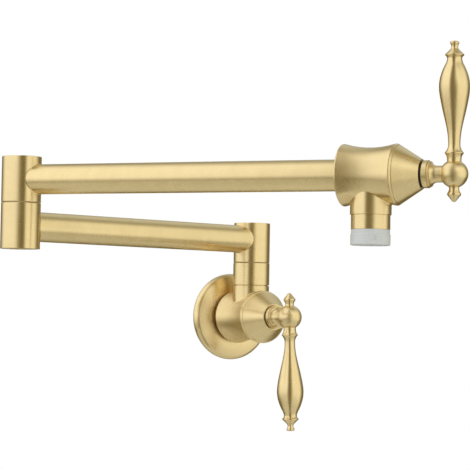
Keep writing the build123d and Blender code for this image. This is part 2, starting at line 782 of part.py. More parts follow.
def elbow_clip():
    """Open spring clip that keeps the elbow together."""
    clip = ring(elbow_stack, CLIP_FLOOR_R, CLIP_R, *CLIP)
    return clip - cross_bar(elbow_stack, (CLIP_R, CLIP_OPENING, CLIP_R), (CLIP_R, 0, CLIP[0]))


def hub_cap(frame, mouth, depth):
    """Plug in a hub's mouth. It runs up from there, or down where the depth is negative."""
    ease = SEAM if depth > 0 else -SEAM
    return turned(
        frame,
        (0, mouth),
        (CAVITY_R - SEAM, mouth),
        (CAVITY_R, mouth + ease),
        (CAVITY_R, mouth + depth),
        (0, mouth + depth),
    )


def lower_arm_tube():
    """Tube of the lower arm, coped to the hubs at both ends."""
    start = level(swivel_point + Vector(0, 0, LOWER_ARM_Z), LOWER_HEADING)
    tube = ring(start, TUBE_BORE_R, TUBE_R, 0, LOWER_ARM)
    return tube - rod(wall_stack, HUB_R, 0, COPE) - rod(elbow_stack, HUB_R, 0, COPE)


def upper_arm_tube():
    """Tube of the upper arm, coped to the elbow hub and let into the outlet barrel."""
    start = level(elbow_point + Vector(0, 0, UPPER_ARM_Z), UPPER_HEADING)
    tube = ring(start, TUBE_BORE_R, TUBE_R, 0, UPPER_ARM + BARREL_REAR + TUBE_SOCKET)
    return tube - rod(elbow_stack, HUB_R, 0, COPE)


# ---- spout --------------------------------------------------------------------------

SPOUT_WASHER = 1.5
AERATOR_BORE_R = 11.0
AERATOR_LIP = 0.8           # lip that the aerator's core hangs on
AERATOR_RIB = (0.9, 3.6, 0.6)
AERATOR_RIB_DROP = 42.8
AERATOR_RIB_HEADING = -110
AERATOR_STEP = 40.4
INSERT_TOP = 36.2
INSERT_BOTTOM = 45.6
SCREEN_BOTTOM = 46.6
SCREEN_PITCH = 2.4
SCREEN_HOLE_R = 0.8
SCREEN_RIM = 1.5
CHANNELS = 12
CHANNEL_R = 1.1
CHANNEL_CIRCLE_R = 7.6


def spout_ring():
    """Plated ring that holds the aerator on the boss."""
    return turned(
        spout_stack,
        (SPIGOT_R, -BOSS_DROP),
        (SPIGOT_R, -SPOUT_RING_DROP),
        (SPOUT_RING_R - SEAM, -SPOUT_RING_DROP),
        (SPOUT_RING_R, -SPOUT_RING_DROP + SEAM),
        (SPOUT_RING_R, -BOSS_DROP),
    )


def spout_washer():
    """Rubber washer between the boss and the aerator."""
    top = -SPIGOT_DROP
    return ring(spout_stack, SPOUT_BORE_R, SPIGOT_R - 0.1, top - SPOUT_WASHER, top)


def aerator_housing():
    """Pale plastic sleeve under the ring, with a small rib on its side."""
    top = -SPIGOT_DROP - SPOUT_WASHER
    sleeve = turned(
        spout_stack,
        (AERATOR_BORE_R - AERATOR_LIP, top),
        (SPIGOT_R, top),
        (SPIGOT_R, -SPOUT_RING_DROP),
        (AERATOR_NECK_R, -SPOUT_RING_DROP),
        (AERATOR_NECK_R, -AERATOR_STEP),
        (AERATOR_R, -AERATOR_STEP - 0.5),
        (AERATOR_R, -AERATOR_DROP + 1.1),
        ((AERATOR_R - 0.25, -AERATOR_DROP + 0.3), (13.0, -AERATOR_DROP)),
        (11.9, -AERATOR_DROP),
        (11.4, -AERATOR_DROP + 0.6),
        (AERATOR_BORE_R, -SCREEN_BOTTOM),
        (AERATOR_BORE_R, -INSERT_TOP),
        (AERATOR_BORE_R - AERATOR_LIP, -INSERT_TOP),
    )
    side = level(spout_stack.origin, AERATOR_RIB_HEADING)
    return sleeve + cross_bar(side, AERATOR_RIB, (0, -AERATOR_RIB_DROP, AERATOR_R))


def aerator_insert():
    """Core that mixes air into the water: a plug with a ring of channels."""
    core = rod(spout_stack, AERATOR_BORE_R, -INSERT_BOTTOM, -INSERT_TOP)
    channels = []
    for step in range(CHANNELS):
        place = upright(spout_stack.origin + heading(360 * step / CHANNELS) * CHANNEL_CIRCLE_R)
        channels.append(rod(place, CHANNEL_R, -INSERT_BOTTOM, -INSERT_TOP))
    return core - channels


def aerator_screen():
    """Perforated plate that shows inside the spout's mouth."""
    plate = rod(spout_stack, AERATOR_BORE_R, -SCREEN_BOTTOM, -INSERT_BOTTOM)
    holes = []
    for row in range(-4, 5):
        for column in range(-4, 5):
            x = (column + row / 2) * SCREEN_PITCH
            y = row * SCREEN_PITCH * sqrt(3) / 2
            if sqrt(x * x + y * y) < AERATOR_BORE_R - SCREEN_RIM:
                place = upright(spout_stack.origin + Vector(x, y, 0))
                holes.append(rod(place, SCREEN_HOLE_R, -SCREEN_BOTTOM, -INSERT_BOTTOM))
    return plate - holes


# ---- the whole tap ------------------------------------------------------------------

def valve_pieces(name, frame, handle_frame):
    """Every piece of one valve but its body. The handle frame's Y points along the lever."""
    return {
        name + "_bonnet": bonnet(frame),
        name + "_cartridge": cartridge(frame),
        name + "_cartridge_seal": cartridge_seal(frame),
        name + "_seat_seal": seat_seal(frame),
        name + "_fixed_disc": fixed_disc(handle_frame),
        name + "_moving_disc": moving_disc(handle_frame),
        name + "_stem": stem(handle_frame),
        name + "_stem_seal": stem_seal(handle_frame),
        name + "_handle_seal": handle_seal(handle_frame),
        name + "_handle_hub": handle_hub(handle_frame),
        name + "_set_screw": set_screw(handle_frame),
        name + "_lever": lever(handle_frame),
        name + "_finial": finial(handle_frame),
    }


def all_pieces():
    """Node name to solid for the whole tap."""
    wall_handle = turned_by(wall_valve, 180 + HANDLE_LEAN)
    outlet_handle = turned_by(outlet_valve, HANDLE_LEAN)
    pieces = {
        "wall_flange": wall_flange(),
        "wall_gasket": wall_gasket(),
        "flange_seal": flange_seal(),
        "inlet_connector": inlet_connector(),
        "wall_valve_body": wall_valve_body(),
        "swivel_nut": swivel_nut(),
        "swivel_washers": swivel_washers(),
        "swivel_spindle": swivel_spindle(),
        "swivel_o_rings": swivel_o_rings(),
        "swivel_slip_ring": slip_ring(wall_stack, PIN_R, WALL_HUB_BOTTOM),
        "wall_hub": wall_hub(),
        "wall_hub_cap": hub_cap(wall_stack, WALL_HUB_TOP, -TOP_CAP_DEPTH),
        "lower_arm_tube": lower_arm_tube(),
        "lower_elbow_hub": lower_elbow_hub(),
        "elbow_bottom_cap": hub_cap(elbow_stack, lower_hub_bottom, BOTTOM_CAP_DEPTH),
        "elbow_spindle": elbow_spindle(),
        "elbow_o_rings": elbow_o_rings(),
        "elbow_clip": elbow_clip(),
        "elbow_slip_ring": slip_ring(elbow_stack, ELBOW_JOURNAL_R, upper_hub_bottom),
        "upper_elbow_hub": upper_elbow_hub(),
        "elbow_top_cap": hub_cap(elbow_stack, upper_hub_top, -TOP_CAP_DEPTH),
        "upper_arm_tube": upper_arm_tube(),
        "outlet_valve_body": outlet_valve_body(),
        "spout_ring": spout_ring(),
        "spout_washer": spout_washer(),
        "aerator_housing": aerator_housing(),
        "aerator_insert": aerator_insert(),
        "aerator_screen": aerator_screen(),
    }
    pieces.update(valve_pieces("wall", wall_valve, wall_handle))
    pieces.update(valve_pieces("outlet", outlet_valve, outlet_handle))
    return pieces


os.makedirs("parts", exist_ok=True)
for node, solid in all_pieces().items():
    export_step(solid, "parts/" + node + ".step")
    print(node, round(solid.volume, 1))
print("elbow axis", elbow_point, "spout axis", spout_point)
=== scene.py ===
import json
import math

import bpy
import numpy as np
from mathutils import Matrix, Vector


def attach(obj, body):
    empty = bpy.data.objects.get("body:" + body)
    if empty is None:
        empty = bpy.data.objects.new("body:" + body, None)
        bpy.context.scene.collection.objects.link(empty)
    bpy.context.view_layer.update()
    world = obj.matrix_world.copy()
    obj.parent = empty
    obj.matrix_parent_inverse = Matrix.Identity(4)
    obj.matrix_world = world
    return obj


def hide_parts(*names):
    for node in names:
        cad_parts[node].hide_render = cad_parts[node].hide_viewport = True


# A wall mounted pot filler in brushed gold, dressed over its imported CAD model.
# Profiles are written in millimetres, as radius and station, and become metres in skin().

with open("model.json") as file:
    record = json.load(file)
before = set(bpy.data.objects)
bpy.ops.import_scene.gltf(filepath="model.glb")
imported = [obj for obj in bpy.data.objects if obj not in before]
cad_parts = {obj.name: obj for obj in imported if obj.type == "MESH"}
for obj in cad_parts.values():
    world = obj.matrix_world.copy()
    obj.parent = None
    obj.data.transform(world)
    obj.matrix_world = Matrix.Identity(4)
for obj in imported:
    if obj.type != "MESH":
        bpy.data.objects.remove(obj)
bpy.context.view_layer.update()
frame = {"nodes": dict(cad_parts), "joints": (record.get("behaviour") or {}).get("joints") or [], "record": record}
scene = bpy.context.scene
scene.view_settings.view_transform = "Standard"
nodes = frame["nodes"]
bodies = frame["record"]["behaviour"]["bodies"]
body_of = {node: body for body, group in bodies.items() for node in group}
slot_of = {part["node"]: part["material_slot"] for part in frame["record"]["subparts"]}
joints = {joint["name"]: joint for joint in frame["joints"]}

MM = 0.001
AROUND = 112                # facets round a turned piece
AROUND_BARREL = 144
AROUND_FLANGE = 160

# Sizes in millimetres that several pieces share, as in the CAD.
HUB_R = 14.6
NUT_R = 14.7
BOSS_R = 14.25
TUBE_R = 11.0
TUBE_BORE_R = 9.5
WATERWAY_R = 6.5            # bore of the inlet and of each barrel's rear
TUBE_SINK = 3.0             # a tube's bore starts this far under its hub's skin
HUB_BORE_R = 11.6
SPINDLE_R = 9.0             # hole of an elbow hub's floor, round the spindle
SLIP_R = 14.4
CAP = 3.0                   # thickness of the caps on top of the hubs
BOSS_TOP = 25.1             # where the nut stands on the wall valve's boss
NUT_TOP = 43.4
WALL_HUB_LOW = 44.0
WALL_HUB_TOP = 76.0
SPOUT_TOP = 27.4            # where the spout's ring meets the outlet valve's boss
LOWER_ARM = 236.5
UPPER_ARM = 271.5
LOWER_ARM_Z = 62.7
UPPER_ARM_Z = 96.9
HALF_HUB = 16.8
BARREL_REAR = -20.0
BARREL_FRONT = 18.8
BALL_STATION = 58.8
BALL_R = 9.55
COLLAR_BACK = 38.0
COLLAR_SEAT_R = 7.75        # the handle's O-ring sits on this radius
NECK_R = 5.7
HANDLE_LEAN = 1.7           # degrees that a closed lever stands past plumb


# ---- frames --------------------------------------------------------------------------

def stand(origin, forward, above):
    """Matrix of a frame at a point in metres, with Z along forward and Y near above."""
    z = Vector(forward).normalized()
    x = Vector(above).cross(z).normalized()
    turn = Matrix((x, z.cross(x), z)).transposed().to_4x4()
    return Matrix.Translation(origin) @ turn


def shifted(base, z):
    """The same frame, moved along its own Z by millimetres."""
    return base @ Matrix.Translation((0, 0, z * MM))


UP = Vector((0, 0, 1))
swivel_point = Vector(joints["wall_swivel"]["pos_m"])
swivel_point.z = 0
elbow_point = Vector(joints["elbow_swivel"]["pos_m"])
elbow_point.z = 0
spout_point = Vector(joints["outlet_handle_turn"]["pos_m"])
outlet_way = Vector(joints["outlet_handle_turn"]["axis"])
wall_way = Vector(joints["wall_handle_turn"]["axis"])

wall_stack = stand(swivel_point, UP, -wall_way)
elbow_stack = stand(elbow_point, UP, -wall_way)
spout_drop = stand(spout_point, -UP, outlet_way)
wall_front = stand((0, 0, 0), wall_way, UP)
wall_valve = stand(swivel_point, wall_way, UP)
outlet_valve = stand(spout_point, outlet_way, UP)
lean = Matrix.Rotation(math.radians(HANDLE_LEAN), 4, "Z")
wall_handle = stand(swivel_point, wall_way, -UP) @ lean
outlet_handle = outlet_valve @ lean
lower_run = stand(swivel_point + UP * LOWER_ARM_Z * MM, elbow_point - swivel_point, UP)
upper_run = stand(elbow_point + UP * UPPER_ARM_Z * MM, outlet_way, UP)


# ---- camera --------------------------------------------------------------------------

CAMERA_AZIMUTH = math.radians(-31.11)
CAMERA_ELEVATION = math.radians(-2.6)
CAMERA_ROLL = math.radians(1.03)
CAMERA_AIM = Vector((2.053, -4.821, 67.546)) * MM
CAMERA_DISTANCE = 1.6839
CAMERA_LENS = 155.76
SENSOR_WIDTH = 36.0


def view_axes():
    """Right, up and back of the photograph's view."""
    level = math.cos(CAMERA_ELEVATION)
    back = Vector((
        math.sin(CAMERA_AZIMUTH) * level,
        -math.cos(CAMERA_AZIMUTH) * level,
        math.sin(CAMERA_ELEVATION),
    ))
    flat = Vector((math.cos(CAMERA_AZIMUTH), math.sin(CAMERA_AZIMUTH), 0))
    right = flat * math.cos(CAMERA_ROLL) + back.cross(flat) * math.sin(CAMERA_ROLL)
    return right, back.cross(right), back


right, above, back = view_axes()


def place_camera():
    """Camera fitted to the photograph, aimed at the middle of the tap."""
    lens = bpy.data.cameras.new("camera")
    lens.lens = CAMERA_LENS
    lens.sensor_width = SENSOR_WIDTH
    lens.clip_start = 0.05
    lens.clip_end = 60.0
    camera = bpy.data.objects.new("camera", lens)
    scene.collection.objects.link(camera)
    turn = Matrix((right, above, back)).transposed().to_4x4()
    camera.matrix_world = Matrix.Translation(CAMERA_AIM + back * CAMERA_DISTANCE) @ turn
    scene.camera = camera


# ---- profiles ------------------------------------------------------------------------

ARC_STEP = math.radians(5)  # longest step along an arc
SHARP = math.radians(7)     # a corner that bends more than this is rounded off
CORNER_SHARE = 0.38         # and takes no more than this share of the shorter run


def straight_run(here, there):
    """The two ends of a straight line."""
    return np.array([here, there], float)


def arc_run(here, middle, there):
    """Points of the arc that leaves here, passes the middle and ends there."""
    a, b, c = (np.array(p, float) for p in (here, middle, there))
    system = 2 * np.array([b - a, c - a])
    centre = np.linalg.solve(system, [b @ b - a @ a, c @ c - a @ a])
    radius = np.linalg.norm(a - centre)
    first, mid, last = (math.atan2(*(p - centre)[::-1]) for p in (a, b, c))
    sweep = (last - first) % math.tau
    if (mid - first) % math.tau > sweep:
        sweep -= math.tau
    count = max(4, math.ceil(abs(sweep) / ARC_STEP))
    angles = first + sweep * np.arange(count + 1) / count
    return centre + radius * np.column_stack([np.cos(angles), np.sin(angles)])


def curve_run(points):
    """Points of a smooth curve through the given ones, upright at both ends."""
    points = np.array(points, float)
    gaps = np.linalg.norm(np.diff(points, axis=0), axis=1)
    last = len(points) - 1
    system = np.eye(last + 1)
    slopes = np.zeros_like(points)
    slopes[0] = slopes[last] = (0, 1)
    for i in range(1, last):
        system[i, i - 1 : i + 2] = gaps[i], 2 * (gaps[i - 1] + gaps[i]), gaps[i - 1]
        rise = (points[i] - points[i - 1]) / gaps[i - 1]
        slopes[i] = 3 * (gaps[i] * rise + gaps[i - 1] * (points[i + 1] - points[i]) / gaps[i])
    slopes = np.linalg.solve(system, slopes)
    run = [points[0]]
    for i in range(last):
        for t in np.arange(1, 7) / 6:
            start = (1 + 2 * t) * (1 - t) ** 2 * points[i] + t * (1 - t) ** 2 * gaps[i] * slopes[i]
            end = t * t * (3 - 2 * t) * points[i + 1] + t * t * (t - 1) * gaps[i] * slopes[i + 1]
            run.append(start + end)
    return np.array(run)


def dome(radius, base, top):
    """Step of a profile that closes it with a ball cap: an arc from a rim to the axis."""
    rise = top - base
    ball_r = (radius ** 2 + rise ** 2) / (2 * rise)
    half = math.asin(radius / ball_r) / 2
    return (ball_r * math.sin(half), top - ball_r * (1 - math.cos(half))), (0, top)


def travelled(run):
    """Distance along a run at each of its points."""
    return np.concatenate([[0], np.cumsum(np.linalg.norm(np.diff(run, axis=0), axis=1))])


def trimmed(run, head, tail):
    """A run without a length at its start and at its end."""
    way = travelled(run)
    low, high = head, way[-1] - tail
    keep = (way > low + 1e-6) & (way < high - 1e-6)
    ends = [[np.interp(d, way, run[:, k]) for k in (0, 1)] for d in (low, high)]
    return np.vstack([ends[0], run[keep], ends[1]])


def profile(start, steps, ease, closed):
    """Line through a profile's steps, with every corner between them rounded off."""
    runs = []
    here = start
    for step in steps:
        if isinstance(step, list):
            run = curve_run([here] + step)
        elif isinstance(step[0], tuple):
            run = arc_run(here, *step)
        else:
            run = straight_run(here, step)
        runs.append(run)
        here = tuple(run[-1])
    if closed:
        runs.append(straight_run(here, start))
    heads = [0.0] * len(runs)
    tails = [0.0] * len(runs)
    for i in range(len(runs) if closed else len(runs) - 1):
        j = (i + 1) % len(runs)
        along = runs[i][-1] - runs[i][-2]
        onward = runs[j][1] - runs[j][0]
        bend = along @ onward / np.linalg.norm(along) / np.linalg.norm(onward)
        if bend < math.cos(SHARP):
            room = min(travelled(runs[i])[-1], travelled(runs[j])[-1])
            tails[i] = heads[j] = min(ease, CORNER_SHARE * room)
    line = []
    for i, run in enumerate(runs):
        line.append(trimmed(run, heads[i], tails[i]))
        if tails[i]:
            j = (i + 1) % len(runs)
            first = line[-1][-1]
            last = trimmed(runs[j], heads[j], tails[j])[0]
            for t in (0.2, 0.4, 0.6, 0.8):
                corner = run[-1]
                line.append([(1 - t) ** 2 * first + 2 * t * (1 - t) * corner + t * t * last])
    line = np.vstack(line)
    step = np.linalg.norm(np.diff(line, axis=0), axis=1)
    line = line[np.concatenate([[True], step > 1e-5])]
    if closed and np.linalg.norm(line[-1] - line[0]) < 1e-5:
        line = line[:-1]
    return line


def facing(line, closed):
    """Outward normals of a profile, each led by the longer of its two neighbours."""
    ahead = np.roll(line, -1, axis=0) - line
    if not closed:
        ahead[-1] = 0
    normals = np.column_stack([ahead[:, 1], -ahead[:, 0]])
    size = np.linalg.norm(ahead, axis=1)[:, None]
    weighted = normals * size
    total = weighted + np.roll(weighted, 1, axis=0)
    return total / np.linalg.norm(total, axis=1)[:, None]


# ---- skins ---------------------------------------------------------------------------

def skin(base, rows, normals, way, closed):
    """Mesh data of rows of points that run round an axis, given in a frame in mm. A row
    whose points all meet is a pole. The way is each row's distance along the profile."""
    count = rows.shape[1]
    turn = np.array(base.to_3x3())
    origin = np.array(base.translation)
    first = []
    poles = []
    points = []
    faces_out = []
    for row, out in zip(rows, normals):
        pole = np.ptp(row, axis=0).max() < 1e-7
        first.append(sum(len(p) for p in points))
        poles.append(pole)
        points.append(row[:1] if pole else row)
        faces_out.append(out[:1] if pole else out)

    def spot(i, j):
        return first[i] if poles[i] else first[i] + j % count

    faces = []
    marks = []
    for i in range(len(rows) if closed else len(rows) - 1):
        k = (i + 1) % len(rows)
        for j in range(count):
            corners = [
                (spot(i, j), way[i], j),
                (spot(i, j + 1), way[i], j + 1),
                (spot(k, j + 1), way[i + 1], j + 1),
                (spot(k, j), way[i + 1], j),
            ]
            if poles[i]:
                corners.pop(1)
            elif poles[k]:
                corners.pop(2)
            faces.append([c[0] for c in corners])
            marks += [(c[1] * MM, c[2] / count) for c in corners]
    points = np.vstack(points) * MM @ turn.T + origin
    return points, np.vstack(faces_out) @ turn.T, faces, marks


def turned(base, start, *steps, ease=0.25, around=AROUND):
    """Skin of a turned solid about a frame's Z. The profile closes on itself, or on the
    axis when it starts and ends there."""
    closed = not (start[0] == 0 and last_point(steps)[0] == 0)
    line = profile(start, steps, ease, closed)
    after = np.roll(line, -1, axis=0)
    area = np.sum(line[:, 0] * after[:, 1] - after[:, 0] * line[:, 1])
    if area < 0:
        line = line[::-1]
    out = facing(line, closed)
    if not closed:
        out[0] = (0, -1)
        out[-1] = (0, 1)
        line[0, 0] = line[-1, 0] = 0
    angles = math.tau * np.arange(around) / around
    cosine = np.cos(angles)
    sine = np.sin(angles)

    def spread(flat):
        wide = np.repeat(flat[:, 1:], around, axis=1)
        return np.stack([flat[:, :1] * cosine, flat[:, :1] * sine, wide], axis=2)

    way = travelled(np.vstack([line, line[:1]]))
    return skin(base, spread(line), spread(out), way, closed)


def last_point(steps):
    """Point where a profile's last step ends."""
    step = steps[-1]
    if isinstance(step, list):
        return step[-1]
    return step[-1] if isinstance(step[0], tuple) else step


def unit(vectors):
    """The same directions, one long."""
    return vectors / np.linalg.norm(vectors, axis=-1, keepdims=True)


def saddle(lower, corner, upper, lower_out, upper_out, count=6):
    """Rows of a fillet that leaves a surface at the lower points and runs onto a wall at
    the upper ones, with normals that turn from one surface's to the other's."""
    rows = []
    outs = []
    for t in np.arange(count + 1) / count:
        rows.append((1 - t) ** 2 * lower + 2 * t * (1 - t) * corner + t * t * upper)
        outs.append(unit((1 - t) * lower_out + t * upper_out))
    return rows, outs


def finish_rows(base, rows, outs):
    """Skin of a closed loop of rows, each an array of points round the frame's axis."""
    rows = np.array(rows)
    outs = np.array(outs)
    steps = np.linalg.norm(np.diff(np.concatenate([rows, rows[:1]]), axis=0), axis=2).mean(axis=1)
    return skin(base, rows, outs, np.concatenate([[0], np.cumsum(steps)]), True)


def round_walls():
    """Angles round a piece, and the outward directions at them."""
    angles = math.tau * np.arange(AROUND) / AROUND
    return angles, np.stack([np.cos(angles), np.sin(angles), 0 * angles], axis=1)


SOLDER = 0.7                # fillet where a tube meets its hub
BLEND = 1.2                 # fillet where a boss meets its barrel
SINK = 0.012                # how far a fillet's foot lies under the surface it leaves
EDGE = 0.2                  # broken edge at a tube's plain end


def hub_foot(radius, angles):
    """Where a cylinder round the run's Z meets an upright hub on its origin."""
    across = radius * np.cos(angles)
    rise = radius * np.sin(angles)
    return np.stack([across, rise, np.sqrt(HUB_R ** 2 - across ** 2)], axis=1)


def coped_end(angles):
    """Fillet rows from a hub onto a tube that runs away from it."""
    corner = hub_foot(TUBE_R, angles)
    lower = hub_foot(TUBE_R + SOLDER, angles)
    upper = corner + (0, 0, SOLDER)
    hub_out = lower * (1, 0, 1) / HUB_R
    tube_out = corner * (1, 1, 0) / TUBE_R
    return saddle(lower - SINK * hub_out, corner, upper, hub_out, tube_out)


def tube_skin(base, length, far_hub):
    """Arm tube from the hub on its frame's origin, to a far hub or a plain far end."""
    angles, wall = round_walls()
    rows, outs = coped_end(angles)
    lengthwise = np.array([0, 0, 1.0])
    if far_hub:
        far_rows, far_outs = coped_end(angles)
        flip = np.array([1, 1, -1])
        rows += [row * flip + length * lengthwise for row in reversed(far_rows)]
        outs += [out * flip for out in reversed(far_outs)]
        far = length - HUB_R + TUBE_SINK
    else:
        far = length
        rows.append(TUBE_R * wall + (far - EDGE) * lengthwise)
        rows.append((TUBE_R - EDGE) * wall + far * lengthwise)
        outs += [wall, unit(wall + lengthwise)]
    rows.append(TUBE_BORE_R * wall + far * lengthwise)
    rows.append(TUBE_BORE_R * wall + (HUB_R - TUBE_SINK) * lengthwise)
    outs += [-wall, -wall]
    return finish_rows(base, rows, outs)


BARREL_ARC = ((18.7, -0.3), (21.4, -18.7))
BARREL_LINE = arc_run((21.15, 18.2), *BARREL_ARC)[::-1]
NUDGE = 0.05                # step for measuring the barrel's slope
RIM = 1.5                   # height under a boss's top edge where its profile takes over
BOSS_BORE_LOW = 4.0


def barrel_height(radius, angles):
    """Height of the waisted barrel over its axis, on a circle round the boss."""
    along = radius * np.cos(angles)
    barrel_r = np.interp(along, BARREL_LINE[:, 1], BARREL_LINE[:, 0])
    return np.sqrt(barrel_r ** 2 - (radius * np.sin(angles)) ** 2)


def on_barrel(radius, angles):
    """Points of the barrel on a circle round the boss, whose axis is Z and the barrel's X."""
    height = barrel_height(radius, angles)
    return np.stack([radius * np.cos(angles), radius * np.sin(angles), height], axis=1)


def barrel_out(radius, angles):
    """Outward normals of the barrel at the same points."""
    outward = on_barrel(radius + NUDGE, angles) - on_barrel(radius - NUDGE, angles)
    sideways = on_barrel(radius, angles + 1e-3) - on_barrel(radius, angles - 1e-3)
    return unit(np.cross(outward, sideways))


def boss_skin(base, radius, rest):
    """Boss that stands on a barrel with a fillet, then follows the rest of its profile in
    radius and height, down to its bore."""
    angles, wall = round_walls()
    corner = on_barrel(radius, angles)
    out = barrel_out(radius, angles)
    leg = BLEND * np.tan(np.arccos(np.clip((out * wall).sum(axis=1), -1, 1)) / 2)
    rise = barrel_height(radius + NUDGE, angles) - barrel_height(radius - NUDGE, angles)
    slope = rise / (2 * NUDGE)
    reach = radius + leg / np.sqrt(1 + slope ** 2)
    lower = on_barrel(reach, angles)
    lower_out = barrel_out(reach, angles)
    upper = corner + leg[:, None] * (0, 0, 1)
    rows, outs = saddle(lower - SINK * lower_out, corner, upper, lower_out, wall)
    line = profile((radius, rest[0][1] - RIM), rest, 0.25, False)
    turn_out = facing(line, False)
    for (r, h), (out_r, out_h) in zip(line, turn_out):
        rows.append(r * wall + (0, 0, h))
        outs.append(out_r * wall + (0, 0, out_h))
    rows.append(rows[-1] * (1, 1, 0) + (0, 0, BOSS_BORE_LOW))
    outs.append(-wall)
    return finish_rows(base, rows, outs)


# ---- pieces --------------------------------------------------------------------------

def piece(name, finish, skins, *stands_for):
    """One finished piece from skins. It stands for CAD nodes and rides on their body."""
    points = []
    normals = []
    faces = []
    marks = []
    for skin_points, skin_normals, skin_faces, skin_marks in skins:
        start = sum(len(p) for p in points)
        points.append(skin_points)
        normals.append(skin_normals)
        faces += [[corner + start for corner in face] for face in skin_faces]
        marks += skin_marks
    mesh = bpy.data.meshes.new(name)
    mesh.from_pydata(np.vstack(points), [], faces)
    turning = mesh.uv_layers.new(name="turning")
    turning.data.foreach_set("uv", np.array(marks, np.float32).ravel())
    mesh.polygons.foreach_set("use_smooth", np.ones(len(mesh.polygons), bool))
    mesh.normals_split_custom_set_from_vertices(np.vstack(normals))
    mesh.materials.append(finish)
    made = bpy.data.objects.new(name, mesh)
    scene.collection.objects.link(made)
    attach(made, body_of[stands_for[0]])
    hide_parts(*stands_for)


def sleeve(base, inner, outer, low, high, ease=0.3):
    """Turned ring with eased corners."""
    return turned(base, (inner, low), (outer, low), (outer, high), (inner, high), ease=ease)


# ---- finishes ------------------------------------------------------------------------

class Shop:
    """A node tree that nodes are added to and joined up in."""

    def __init__(self, tree):
        self.tree = tree

    def join(self, source, target):
        """Link from an output to an input."""
        self.tree.links.new(source, target)

    def add(self, kind, given=(), **settings):
        """New node with its settings. Its inputs get the given sockets or plain values."""
        node = self.tree.nodes.new(kind)
        for name, value in settings.items():
            setattr(node, name, value)
        for place, value in dict(given).items():
            if isinstance(value, bpy.types.NodeSocket):
                self.join(value, node.inputs[place])
            else:
                node.inputs[place].default_value = value
        return node

    def sums(self, operation, *values):
        """Result of a math node on sockets or plain numbers."""
        return self.add("ShaderNodeMath", enumerate(values), operation=operation).outputs[0]

    def vectors(self, operation, *values):
        """Outputs of a vector math node on sockets or plain vectors."""
        return self.add("ShaderNodeVectorMath", enumerate(values), operation=operation).outputs

    def mapped(self, value, start, end, low, high, kind="LINEAR"):
        """The part of a value from start to end, stretched to low to high."""
        given = {"Value": value, "From Min": start, "From Max": end, "To Min": low, "To Max": high}
        return self.add("ShaderNodeMapRange", given, interpolation_type=kind).outputs[0]

    def faded(self, value, near, far):
        """One as far as near, then smoothly down to nothing at far."""
        return self.mapped(value, near, far, 1.0, 0.0, "SMOOTHSTEP")


def new_group(name, inputs, outputs):
    """Empty shader group with named sockets, given as name to default value."""
    tree = bpy.data.node_groups.new(name, "ShaderNodeTree")
    for label, default in inputs.items():
        kind = "NodeSocketVector" if default is None else "NodeSocketFloat"
        socket = tree.interface.new_socket(label, in_out="INPUT", socket_type=kind)
        if default is not None:
            socket.default_value = default
    for label in outputs:
        tree.interface.new_socket(label, in_out="OUTPUT", socket_type="NodeSocketFloat")
    shop = Shop(tree)
    return shop, shop.add("NodeGroupInput").outputs, shop.add("NodeGroupOutput").inputs


def make_turning_lines():
    """Fine lines that a brush leaves round a turned piece, from its turning map."""
    shop, given, out = new_group(
        "turning_lines",
        {"Turning": None, "Lines": 5000.0, "Patches": 160.0},
        ("Height", "Tone"),
    )
    parts = shop.add("ShaderNodeSeparateXYZ", {0: given["Turning"]}).outputs
    angle = shop.sums("MULTIPLY", parts["Y"], math.tau)
    layers = (("Height", "Lines", 2.2, 3.0), ("Tone", "Patches", 0.8, 2.0))
    for label, density, length, detail in layers:
        xyz = {
            "X": shop.sums("MULTIPLY", parts["X"], given[density]),
            "Y": shop.sums("MULTIPLY", shop.sums("COSINE", angle), length),
            "Z": shop.sums("MULTIPLY", shop.sums("SINE", angle), length),
        }
        place = shop.add("ShaderNodeCombineXYZ", xyz).outputs[0]
        noise = {"Vector": place, "Scale": 1.0, "Detail": detail}
        shop.join(shop.add("ShaderNodeTexNoise", noise).outputs["Fac"], out[label])
    return shop.tree


def make_mottle():
    """Soft cloudiness and fine grain over a surface, from Object coordinates."""
    shop, given, out = new_group(
        "mottle",
        {"Place": None, "Clouds": 60.0, "Grain": 2500.0},
        ("Cloud", "Fine"),
    )
    for label, size, detail in (("Cloud", "Clouds", 2.0), ("Fine", "Grain", 3.0)):
        noise = {"Vector": given["Place"], "Scale": given[size], "Detail": detail}
        shop.join(shop.add("ShaderNodeTexNoise", noise).outputs["Fac"], out[label])
    return shop.tree


turning_lines = make_turning_lines()
mottle = make_mottle()


def finish_base(name, **values):
    """Material with a Principled shader and its plain values."""
    material = bpy.data.materials.new(name)
    material.use_nodes = True
    shop = Shop(material.node_tree)
    shader = material.node_tree.nodes["Principled BSDF"]
    for label, value in values.items():
        shader.inputs[label.replace("_", " ")].default_value = value
    return material, shop, shader


def ranged(shop, factor, low, high):
    """Middle part of a noise factor, stretched to low to high."""
    return shop.mapped(factor, 0.3, 0.7, low, high)


def blended_colour(shop, factor, dark, light):
    """Colour between two, by a noise factor."""
    given = {"Factor": ranged(shop, factor, 0.0, 1.0), "A": (*dark, 1), "B": (*light, 1)}
    return shop.add("ShaderNodeMix", given, data_type="RGBA").outputs["Result"]


def bumped(shop, shader, height, strength, distance):
    """Fine relief on a shader's normal."""
    given = {"Strength": strength, "Distance": distance, "Height": height}
    shop.join(shop.add("ShaderNodeBump", given).outputs[0], shader.inputs["Normal"])


